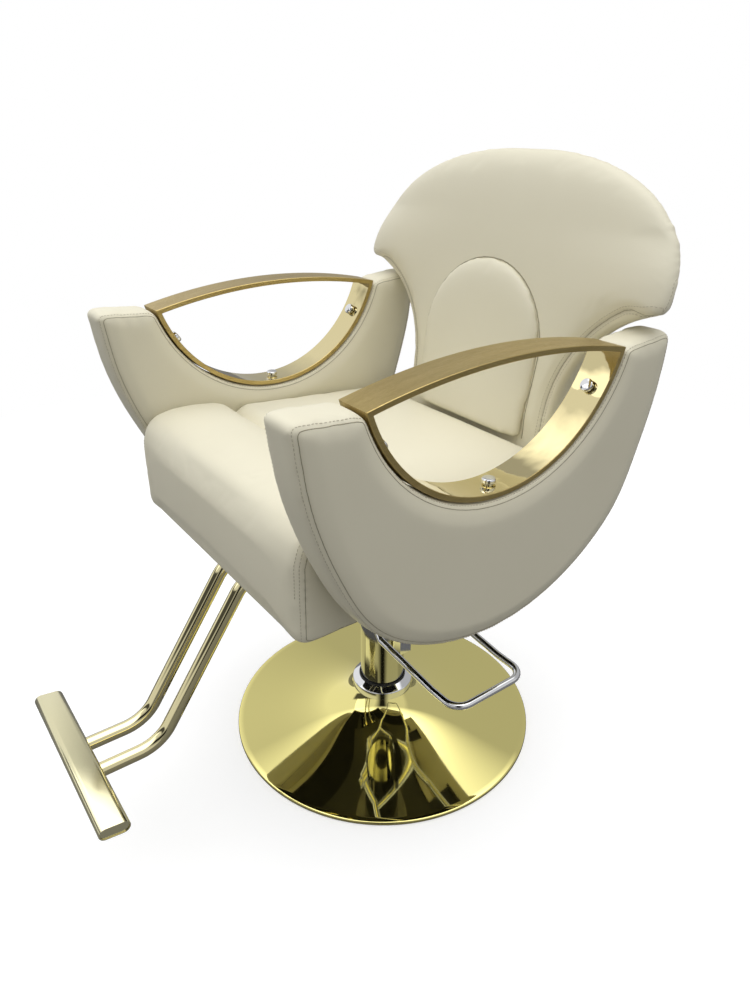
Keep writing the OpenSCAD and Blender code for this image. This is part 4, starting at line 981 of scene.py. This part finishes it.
mirrored(left_arm, "right_arm", ["right_arm_pad"])
cords = lay_cord("left_arm_seams", left_arm, arm_seams)
arm_rows = [face_loop(x - math.copysign(STITCH_INWARD, x - ARM_X),
                      *(inset - STITCH_BAND for inset in (SEAM_OUT, SEAM_INN, SEAM_TOP))) for x in FACES_X]
stitches = lay_stitches("left_arm_stitches", left_arm, arm_rows)
mirrored(cords, "right_arm_seams")
mirrored(stitches, "right_arm_stitches")

# %% [markdown]
# ## The front pad of the seat
# This is the thickest cushion. It rolls over the front edge, stands a little proud of the seat behind it
# and is closed at each end by a side panel. A double row of stitches follows the panel's edge.

# %% Front pad
front_low, _, _ = box_middle("seat_front_pad")
FRONT_X, FRONT_BACK_Y, FRONT_DEPTH, FRONT_H = 0.252, -0.152, 0.160, 0.160
front_z = front_low.z
FRONT_OUTLINE_SHARES = [(0, 0), (0.97, 0), (1.01, 0.03), (1.012, 0.45), (1.0, 0.74), (0.955, 0.885),
                        (0.86, 0.965), (0.7, 1.0), (0.45, 1.0), (0.2, 0.97), (0.06, 0.915), (0, 0.82)]
FRONT_ROUND_SHARES = [0, 0.02, 0.02, 0.3, 0.3, 0.25, 0.25, 0.3, 0.3, 0.2, 0.08, 0.04]


def front_outline(inset):
    """Side outline of the front pad as (y, z), drawn in by an inset towards its middle."""
    corners = [Vector((-FRONT_DEPTH * f, FRONT_H * h, 0)) for f, h in FRONT_OUTLINE_SHARES]
    body = rounded(corners, [s * FRONT_DEPTH * 0.5 for s in FRONT_ROUND_SHARES], 6, True)
    middle = Vector((-FRONT_DEPTH / 2, FRONT_H / 2, 0))
    out = []
    for p in body:
        away = p - middle
        out.append(middle + away * (1 - inset / max(away.length, 0.001)))
    return [Vector((FRONT_BACK_Y + p.x, front_z + p.y)) for p in out]


END_ROUND, FRONT_CROWN, PANEL_IN, FRONT_SWELL = 0.011, 0.004, 0.0085, 0.0075
front_stations = [(1 - END_ROUND / FRONT_X * (1 - math.sin(a)), END_ROUND * (1 - math.cos(a)))
                  for a in (math.radians(d) for d in (90, 70, 50, 30, 12))]
front_stations += [(0.9, 0), (0.6, 0), (0.3, 0), (0, 0)]
front_rings = []
for share, inset in front_stations + [(-s, i) for s, i in reversed(front_stations[:-1])]:
    x = share * (FRONT_X - PAD_SHRINK)
    crown = FRONT_CROWN * (1 - share ** 2)
    front_rings.append([Vector((x, p.x, p.y + (crown if p.y > front_z + FRONT_H * 0.9 else 0)))
                        for p in front_outline(inset + PAD_SHRINK)])
front_seams = []
for side in (-1, 1):
    ring = [Vector((side * FRONT_X, p.x, p.y)) for p in front_outline(PANEL_IN)]
    front_seams.append(ring + ring[:1])


def front_hold(p, n):
    """The pad keeps its shape underneath, behind, and on its flat end panels."""
    under, behind, end = (ease_step((v - 0.35) / 0.4) for v in (-n.z, n.y, abs(n.x)))
    return 1 - max(0.9 * under, 0.9 * behind, 0.8 * end)


front_pad = leather_pad("front_pad", front_rings, ["seat_front_pad"], FRONT_SWELL, front_seams,
                        front_hold)
lay_cord("front_pad_seams", front_pad, front_seams)

# %% Double row of stitches at each end of the front pad
ROWS_FROM_END = [(0.0035, 0.0065), (0.0005, 0.0125)]
ROW_REAR_END, ROW_LOW_END = FRONT_BACK_Y - 0.012, front_z + 0.006
front_rows = []
for side in (-1, 1):
    for offset, from_end in ROWS_FROM_END:
        ring = [Vector((side * (FRONT_X - from_end), p.x, p.y)) for p in front_outline(offset)]
        front_rows.append([p for p in ring if p.y < ROW_REAR_END and p.z > ROW_LOW_END])
lay_stitches("front_pad_stitches", front_pad, front_rows)

# %% [markdown]
# ## Seat cushion, lumbar pad and back
# The seat cushion lies low behind the front pad and is almost flat, with a slight crown. The back is one
# big padded shield: a straight trunk, a flare, two wings and a round crest. The lumbar pad is an arch sewn
# on it.

# %% Seat cushion
cushion_low, cushion_high, _ = box_middle("seat_cushion")
CUSHION_FRONT_TOP, CUSHION_BACK_TOP, CUSHION_CROWN, CUSHION_EDGE = 0.590, 0.565, 0.004, 0.016
CUSHION_BACK_DROP, CUSHION_ROWS, CORNER_STEPS, CUSHION_SWELL = 0.006, 14, 6, 0.004
cushion_half = cushion_high.x - PAD_SHRINK
cushion_rings = []
for k in range(CUSHION_ROWS + 1):
    share = k / CUSHION_ROWS
    y = cushion_low.y + PAD_SHRINK + (cushion_high.y - cushion_low.y - 2 * PAD_SHRINK) * share
    top = CUSHION_FRONT_TOP + (CUSHION_BACK_TOP - CUSHION_FRONT_TOP) * share - PAD_SHRINK
    top -= CUSHION_EDGE if k == 0 else CUSHION_BACK_DROP if k == CUSHION_ROWS else 0
    section = [Vector((-cushion_half, 0, cushion_low.z)), Vector((cushion_half, 0, cushion_low.z)),
               Vector((cushion_half, 0, top)), Vector((-cushion_half, 0, top))]
    ring = rounded(section, [0.001, 0.001, CUSHION_EDGE, CUSHION_EDGE], CORNER_STEPS, True)
    crown = [Vector((cushion_half * s, 0, top + CUSHION_CROWN * (1 - s * s)))
             for s in (0.8, 0.5, 0, -0.5, -0.8)]
    ring[-CORNER_STEPS - 1:-CORNER_STEPS - 1] = crown
    cushion_rings.append([Vector((p.x, y, p.z)) for p in ring])


def cushion_hold(p, n):
    """Only the top of the seat cushion swells."""
    return 1 if n.z > 0.5 else 0.1


leather_pad("seat_cushion_leather", cushion_rings, ["seat_cushion"], CUSHION_SWELL, (), cushion_hold)

# %% Shape of the back
BACK_BASE, BACK_TILT = Vector((0, 0.184, 0.562)), math.radians(8.9)
BACK_HALF, TRUNK_HALF, WING_S, CREST_S, FLARE_S = 0.331, 0.173, 0.245, 0.1995, 0.057
TRUNK_DOWN, BACK_T, WING_INSET, TRUNK_INSET = 0.110, 0.084, 0.076, 0.014
TRUNK_SEAM, CREST_SEAM, TRUNK_POWER, SOFT_POWER = 0.015, 0.040, 6.0, 2.3
CREST_POWER, REAR_POWER, WAIST_POWER, WING_BOW = 2.34, 6.5, 0.588, 0.018
back_matrix = Matrix.Translation(BACK_BASE) @ Matrix.Rotation(-BACK_TILT, 4, "X")


def back_half(s):
    """Half width of the back at a height up its slope."""
    if s <= FLARE_S:
        return TRUNK_HALF
    if s < WING_S:
        q = (s - FLARE_S) / (WING_S - FLARE_S)
        return TRUNK_HALF + (BACK_HALF - TRUNK_HALF) * (1 - (1 - q * q) ** WAIST_POWER)
    return BACK_HALF * max(0, 1 - ((s - WING_S) / CREST_S) ** CREST_POWER) ** (1 / CREST_POWER)


def crest_full(s, power=REAR_POWER):
    """How much of its depth the back has at a height: all of it, falling away at the crest."""
    return 1 if s <= WING_S else max(0, 1 - ((s - WING_S) / CREST_S) ** power) ** (1 / power)


def edge_share(s):
    """0 along the trunk, where the edge is tight, to 1 on the crest, where it is well rounded."""
    return (0.4 * ease_step((s - FLARE_S * 0.5) / (WING_S * 0.95 - FLARE_S * 0.5))
            + 0.6 * ease_step((s - WING_S) / (0.5 * CREST_S)))


def seam_depth(s):
    """How far behind the front face the edge seam lies."""
    return TRUNK_SEAM + (CREST_SEAM - TRUNK_SEAM) * edge_share(s)


def full(u, power=3.8):
    """Rounding of a face towards its edge."""
    return max(0, 1 - abs(u) ** power) ** (1 / power)


def back_inset(s):
    """How far the rear face is drawn in from the outline."""
    if s <= FLARE_S:
        return TRUNK_INSET
    q = min(1, (s - FLARE_S) / (WING_S - FLARE_S))
    return TRUNK_INSET + (WING_INSET - TRUNK_INSET) * q * q


def on_back(x, depth, s):
    """A point of the back from its own width, depth and height. The wings curve forward a little."""
    bow = WING_BOW * (x / BACK_HALF) ** 2 * min(1, max(0, s / WING_S))
    return back_matrix @ Vector((x, depth - bow, s))


FACE_SHARES = [math.sin(math.pi / 2 * k / 12) for k in range(-12, 13)]
WALL_SHARES = [(0.05, 0.03), (0.17, 0.13), (0.3, 0.26), (0.45, 0.425), (0.6, 0.6), (0.73, 0.77),
               (0.85, 0.91), (0.93, 0.975), (1, 1)]


def back_section(s):
    """One level section of the back: front face, then the rounded rear."""
    w, g, seam = back_half(s) - PAD_SHRINK, crest_full(s), seam_depth(s)
    front = crest_full(s, SOFT_POWER)
    power = TRUNK_POWER + (SOFT_POWER - TRUNK_POWER) * edge_share(s)
    deep, inset = BACK_T - seam, min(back_inset(s), w * 0.8)
    ring = [on_back(u * w, seam * (1 - full(u, power) * front), s) for u in FACE_SHARES]
    ring += [on_back(w - inset * i, seam + deep * d * g, s) for i, d in WALL_SHARES]
    return ring + [on_back(inset * i - w, seam + deep * d * g, s) for i, d in reversed(WALL_SHARES)]


flare_rows = [FLARE_S + (WING_S - FLARE_S) * math.sin(math.pi / 2 * k / 22) for k in range(23)]
crest_rows = [WING_S + (CREST_S - PAD_SHRINK) * math.sin(math.radians(a)) ** (2 / CREST_POWER)
              for a in (3, 8, 13, 18, 24, 30, 36, 42, 48, 54, 60, 66, 71, 76, 80, 84, 87)]
back_rows = [-TRUNK_DOWN + PAD_SHRINK, -0.06, 0.0, 0.03] + flare_rows + crest_rows
print("back sections:", len(back_rows))

# %% Where the back's edge seam runs
SEAM_TO_REAR, SEAM_IN, SEAM_BEHIND = 0.030, 0.013, 0.006
REAR_DRAW_IN = 1.2 * SEAM_TO_REAR
TIP_FROM, TIP_FADE = WING_S * 0.93, WING_S * 0.1
OVER_FROM, OVER_FADE = WING_S + 0.05 * CREST_S, 0.85 * CREST_S


def outline_of_back(inset, behind):
    """The back's edge line from one foot of the trunk up and over to the other.

    Down the trunk and under the wings the line lies on the front face, SEAM_IN from the edge. At the wing's
    tip it goes out to the edge, and over the crest it passes to the rear, out of sight from the front.
    """
    edge = [Vector((back_half(s), s)) for s in back_rows[1:]]
    right = []
    for k, p in enumerate(edge):
        along = (edge[min(k + 1, len(edge) - 1)] - edge[max(k - 1, 0)]).normalized()
        forward = 1 - ease_step((p.y - TIP_FROM) / TIP_FADE)
        over = ease_step((p.y - OVER_FROM) / OVER_FADE)
        at = p + Vector((-along.y, along.x)) * (SEAM_IN * forward + inset)
        at.x = max(at.x - REAR_DRAW_IN * over, 0.002)
        power = TRUNK_POWER + (SOFT_POWER - TRUNK_POWER) * edge_share(at.y)
        face = seam_depth(at.y) * (1 - full(min(1, at.x / max(back_half(at.y), 0.001)), power))
        side = seam_depth(p.y) + behind + SEAM_BEHIND + SEAM_TO_REAR * over
        right.append((at.x, side + (face - side) * forward, at.y))
    top = (0, CREST_SEAM + behind + SEAM_TO_REAR, WING_S + CREST_S - inset)
    return [on_back(*p) for p in right + [top] + [(-x, d, s) for x, d, s in reversed(right)]]


edge_seam = outline_of_back(0.0, 0.0)
print("edge seam points:", len(edge_seam))

# %% Back pad with its seam and stitches
_, lumbar_high, _ = box_middle("lumbar_pad")
LUMBAR_HALF, LUMBAR_FOOT, LUMBAR_TOP, LUMBAR_SPRING, LUMBAR_T = lumbar_high.x, 0.007, 0.277, 0.140, 0.020
BACK_SWELL, BACK_REACH = 0.006, 0.015
back_rings = [back_section(s) for s in back_rows]


def back_hold(p, n):
    """No swelling where the seat and the lumbar pad press on the back."""
    local = back_matrix.inverted() @ p
    low = ease_step((local.z - 0.004) / 0.05)
    rise = max(0, (local.z - LUMBAR_SPRING) / (LUMBAR_TOP - LUMBAR_SPRING))
    under_lumbar = ease_step((1 - math.hypot(local.x / LUMBAR_HALF, rise)) * LUMBAR_HALF / 0.02)
    return low * (1 - 0.9 * under_lumbar if n.y < 0 else 1)


back_piece = leather_pad("back_leather", back_rings, ["back_pad"], BACK_SWELL, [edge_seam], back_hold,
                         BACK_REACH)
lay_cord("back_seam", back_piece, [edge_seam])
back_stitch_rows = [outline_of_back(0.006, -0.014), outline_of_back(-0.0045, 0.0065)]
lay_stitches("back_stitches", back_piece, back_stitch_rows)

# %% Lumbar pad
LUMBAR_LOW_SHARE, LUMBAR_SUNK, LUMBAR_SWELL = 0.955, 0.004, 0.0035


def lumbar_half(s):
    """Half width of the lumbar pad at a height: slightly spread sides under a round arch."""
    if s <= LUMBAR_SPRING:
        share = (s - LUMBAR_FOOT) / (LUMBAR_SPRING - LUMBAR_FOOT)
        return LUMBAR_HALF * (LUMBAR_LOW_SHARE + (1 - LUMBAR_LOW_SHARE) * share)
    return LUMBAR_HALF * max(0, 1 - ((s - LUMBAR_SPRING) / (LUMBAR_TOP - LUMBAR_SPRING)) ** 2) ** 0.5


def lumbar_full(s):
    """How proud the lumbar pad stands at a height."""
    if s <= LUMBAR_SPRING:
        return 1
    return max(0, 1 - ((s - LUMBAR_SPRING) / (LUMBAR_TOP - LUMBAR_SPRING)) ** 6) ** 0.4


def lumbar_section(s):
    """One level section of the lumbar pad, in the back's own frame."""
    w, g = lumbar_half(s) - PAD_SHRINK, lumbar_full(s)
    front = [on_back(u * w, -0.0003 - LUMBAR_T * g * full(u) * (1 - 0.19 * u * u), s)
             for u in FACE_SHARES]
    sunk = LUMBAR_SUNK * ease_step((s - LUMBAR_SPRING) / (LUMBAR_TOP - LUMBAR_SPRING))
    return front + [on_back(w, sunk, s), on_back(-w, sunk, s)]


lumbar_rows = [LUMBAR_FOOT + PAD_SHRINK + (LUMBAR_SPRING - LUMBAR_FOOT) * k / 8 for k in range(8)]
lumbar_rows += [LUMBAR_SPRING + (LUMBAR_TOP - LUMBAR_SPRING - PAD_SHRINK) * math.sin(math.radians(a))
                for a in (0, 8, 16, 24, 32, 40, 48, 56, 63, 70, 76, 81, 85, 88)]


def lumbar_hold(p, n):
    """Swells forwards only."""
    return 1 if n.y < -0.2 else 0


leather_pad("lumbar_leather", [lumbar_section(s) for s in lumbar_rows], ["lumbar_pad"], LUMBAR_SWELL, (),
            lumbar_hold)
half_line = [(lumbar_half(s), 0, s) for s in lumbar_rows]
arch = half_line + [(0, 0, LUMBAR_TOP)] + [(-x, d, s) for x, d, s in reversed(half_line)]
lay_cord("lumbar_seam", back_piece, [[on_back(*p) for p in arch]], radius=0.001, sink=0.2)

# %% Rear cover
cover_rows = [s for s in back_rows if -TRUNK_DOWN + 0.03 < s < WING_S + CREST_S * 0.9]
COVER_T, COVER_SUNK, COVER_SWELL, COVER_STITCH_IN = 0.007, 0.001, 0.002, 0.008
COVER_EDGE = [(1, 0), (1, 0.6), (0.985, 0.95), (0.9, 1), (0.4, 1), (-0.4, 1), (-0.9, 1), (-0.985, 0.95),
              (-1, 0.6), (-1, 0)]


def cover_half(s):
    """Half width of the rear panel at a height."""
    return max(back_half(s) - back_inset(s) - COVER_T, back_half(s) * 0.2)


def cover_section(s):
    """One level section of the thin rear panel with soft edges."""
    d = seam_depth(s) + (BACK_T - seam_depth(s)) * crest_full(s) - COVER_SUNK
    return [on_back(u * cover_half(s), d + COVER_T * h, s) for u, h in COVER_EDGE]


def cover_hold(p, n):
    """Swells backwards only."""
    return 1 if n.y > 0.3 else 0


cover = leather_pad("rear_cover_leather", [cover_section(s) for s in cover_rows], ["back_cover"],
                    COVER_SWELL, (), cover_hold)
cover_line = [(cover_half(s) - COVER_STITCH_IN, BACK_T, s) for s in cover_rows]
cover_loop = cover_line + [(-x, d, s) for x, d, s in reversed(cover_line)] + cover_line[:1]
lay_stitches("rear_cover_stitches", cover, [[on_back(*p) for p in cover_loop]])

# %% [markdown]
# ## Under and inside the seat
# The seat box is an upholstered wooden frame, so its leather lies flat and tight. Under it a black dust
# cloth is stapled, and the steel parts are powder coated or zinc plated.

# %% Seat box
box_low, box_high, _ = box_middle("seat_box")
BOX_WALL, BOX_EDGE, BOX_BREAK, BOX_CORNER = 0.018, 0.004, 0.001, 0.006


def box_ring(inset, z):
    """A rounded rectangle seen from above."""
    corners = [(box_low.x + inset, box_low.y + inset, z), (box_high.x - inset, box_low.y + inset, z),
               (box_high.x - inset, box_high.y - inset, z), (box_low.x + inset, box_high.y - inset, z)]
    return rounded(corners, BOX_CORNER, 4, True)


box_profile = [(BOX_WALL, box_low.z), (BOX_EDGE, box_low.z), (BOX_BREAK, box_low.z + BOX_BREAK),
               (0, box_low.z + BOX_EDGE), (0, box_high.z - BOX_EDGE), (BOX_BREAK, box_high.z - BOX_BREAK),
               (BOX_EDGE, box_high.z), (BOX_WALL, box_high.z)]
points = [p for inset, z in box_profile for p in box_ring(inset, z)]
size = len(box_ring(0, 0))
faces = loft_faces(len(box_profile), size, wrap=True)
seat_box = make_mesh("seat_box_leather", points, faces, cream_leather, "carriage",
                     "cream_leather_on_wood", 40, ["seat_box"])
print("seat box", [round(c, 3) for c in box_high - box_low])

# %% Dust cloth under the seat
dust_low, dust_high, _ = box_middle("dust_cover")
CLOTH_CELLS, cloth_z = 24, dust_low.z + 0.0005
row = CLOTH_CELLS + 1
grid = [Vector((dust_low.x + (dust_high.x - dust_low.x) * i / CLOTH_CELLS,
                dust_low.y + (dust_high.y - dust_low.y) * j / CLOTH_CELLS, cloth_z))
        for j in range(row) for i in range(row)]
cells = [(j * row + i, (j + 1) * row + i, (j + 1) * row + i + 1, j * row + i + 1)
         for j in range(CLOTH_CELLS) for i in range(CLOTH_CELLS)]
dust_sheet = make_mesh("dust_sheet", grid, cells, dust_cloth, "carriage", "black_cloth", 30,
                       ["dust_cover"])
print("dust cloth cells:", len(cells))

# %% Finishes of the CAD parts that stay
STAYING = {
    powder_black: ["floor_plate", "weight_disc", "seat_plate", "frame_rails", "foot_plate",
                   "back_brackets"],
    rubber: ["floor_ring", "piston_seal"],
    cast_metal: ["base_socket", "ram_piston", "pump_head"],
    bronze: ["socket_bush", "thrust_washer", "column_guide"],
    zinc: ["socket_bolts", "ram_rod", "pump_plunger", "head_bolts", "arm_fixings", "bracket_screws",
           "foot_plate_screws"],
    chrome: ["lever_bracket", "lever_nuts", "pump_block"],
    plywood: ["seat_board"],
    foam: ["seat_foam"],
}
for finish, names in STAYING.items():
    for name in names:
        mesh = frame["nodes"][name].data
        mesh.materials.clear()
        mesh.materials.append(finish)
        mesh.shade_smooth()
        mesh.set_sharp_from_angle(angle=math.radians(30))
print("CAD parts with new finishes:", sum(len(n) for n in STAYING.values()))

# %% [markdown]
# ## Floor and light
# Mirror metal shows the room more than itself, so the room is drawn for the gold. Away from the camera the
# sky is bright on the left and dim on the right, which gives the base its two tones. The black wedge in the
# base is the dark underside of the seat, and it stays black only if little light comes up from the floor.
# So the floor is pale for the camera and much darker for all other rays, and it fades into the white
# backdrop far away.

# %% Floor
FLOOR_HALF, FLOOR_Z, FADE_FROM, FADE_TO = 30.0, -0.0002, 0.7, 2.2
FLOOR_SEEN, FLOOR_IN_METAL, FLOOR_GLOW = (0.6, 0.6, 0.6), (0.19, 0.19, 0.19), (0.5, 0.5, 0.5)
BLACK, WHITE = (0.0, 0.0, 0.0), (1.0, 1.0, 1.0)
floor_mesh = bpy.data.meshes.new("floor")
floor_corners = [(x * FLOOR_HALF, y * FLOOR_HALF, FLOOR_Z)
                 for x, y in ((-1, -1), (1, -1), (1, 1), (-1, 1))]
floor_mesh.from_pydata(floor_corners, [], [(0, 1, 2, 3)])
floor = bpy.data.objects.new("floor", floor_mesh)
bpy.context.scene.collection.objects.link(floor)
floor_finish, tree, shader = finish_of("pale_floor")
place_on_floor = add(tree, "TexCoord").outputs["Object"]
distance = add(tree, "VectorMath", {"operation": "LENGTH"}, i0=place_on_floor).outputs["Value"]
far = ramp(tree, distance, FADE_FROM, FADE_TO)
seen = add(tree, "LightPath").outputs["Is Camera Ray"]
near_colour = mix_colour(tree, seen, FLOOR_IN_METAL, FLOOR_SEEN)
tree.links.new(mix_colour(tree, maths(tree, "MULTIPLY", far, seen), near_colour, BLACK),
               shader.inputs["Base Color"])
glow = mix_colour(tree, far, FLOOR_GLOW, WHITE)
tree.links.new(mix_colour(tree, seen, BLACK, glow), shader.inputs["Emission Color"])
shader.inputs["Emission Strength"].default_value = 1.0
shader.inputs["Roughness"].default_value = 1.0
shader.inputs["Specular IOR Level"].default_value = 0.0
floor_mesh.materials.append(floor_finish)
print("floor of", 2 * FLOOR_HALF, "metres")

# %% Studio sky
SKY_CAP, LEFT_NEAR, LEFT_FAR, RIGHT_NEAR, RIGHT_FAR, REAR = 2.2, 0.74, 0.86, 0.66, 0.46, 0.43
CAP_FROM, CAP_FULL, BAND_LEVEL, SKY_FLOOR = 0.72, 0.88, 0.08, 0.012
world = bpy.data.worlds.new("studio")
bpy.context.scene.world = world
world.use_nodes = True
tree = tree_of(world)
direction = add(tree, "TexCoord").outputs["Generated"]
height = add(tree, "SeparateXYZ", Vector=direction).outputs["Z"]


def part_along(x, y):
    """How far the sky's direction points along a level direction."""
    dot = add(tree, "VectorMath", {"operation": "DOT_PRODUCT"}, i0=direction, i1=(x, y, 0))
    return dot.outputs["Value"]


def product(first, *others):
    """Several values multiplied together."""
    for other in others:
        first = maths(tree, "MULTIPLY", first, other)
    return first


def front_or_rear(front, rear):
    """One brightness on the camera's side of the chair and another beyond it."""
    return ramp(tree, toward, -0.1, 0.1, rear, front)


toward = part_along(math.sin(CAMERA_AZIMUTH), -math.cos(CAMERA_AZIMUTH))
across = part_along(math.cos(CAMERA_AZIMUTH), math.sin(CAMERA_AZIMUTH))
left_side, right_side = ramp(tree, across, -0.1, -0.4), ramp(tree, across, 0.1, 0.4)
middle = maths(tree, "SUBTRACT", 1.0, maths(tree, "ADD", left_side, right_side))
left = product(left_side, front_or_rear(LEFT_NEAR, LEFT_FAR))
right = product(right_side, front_or_rear(RIGHT_NEAR, RIGHT_FAR))
around = maths(tree, "ADD", maths(tree, "ADD", left, right), product(middle, front_or_rear(0.0, REAR)))
cap = ramp(tree, height, CAP_FROM, CAP_FULL)
level = maths(tree, "ADD", product(around, maths(tree, "SUBTRACT", 1.0, cap)), product(cap, SKY_CAP))
band = product(ramp(tree, height, 0.22, 0.27), ramp(tree, height, 0.5, 0.44),
               ramp(tree, across, -0.3, -0.42), ramp(tree, toward, -0.35, -0.25))
level = maths(tree, "ADD", product(level, ramp(tree, band, 0.0, 1.0, 1.0, BAND_LEVEL)), SKY_FLOOR)
sky = add(tree, "CombineColor", i0=level, i1=level, i2=level).outputs[0]
picture = mix_colour(tree, add(tree, "LightPath").outputs["Is Camera Ray"], sky, WHITE)
background = add(tree, "Background", Color=picture, Strength=1.0)
tree.links.new(background.outputs[0], add(tree, "OutputWorld").inputs["Surface"])
print("sky nodes:", len(tree.nodes))


# %% Lamps
def area_light(name, at, to, width, power):
    """A square lamp that looks at a point."""
    data = bpy.data.lights.new(name, "AREA")
    data.shape, data.size, data.energy = "SQUARE", width, power
    lamp = bpy.data.objects.new(name, data)
    bpy.context.scene.collection.objects.link(lamp)
    lamp.location = at
    lamp.rotation_mode = "QUATERNION"
    lamp.rotation_quaternion = (Vector(at) - Vector(to)).to_track_quat("Z", "Y")


LAMP_POWER = 4
area_light("overhead", (0.1, -0.2, 3.2), (0, 0, 0.5), 1.8, LAMP_POWER)
area_light("key", (-1.3, -2.3, 2.2), (0, 0, 0.6), 1.4, LAMP_POWER)
bpy.context.scene.view_settings.view_transform = "Standard"

# %% The end
import json
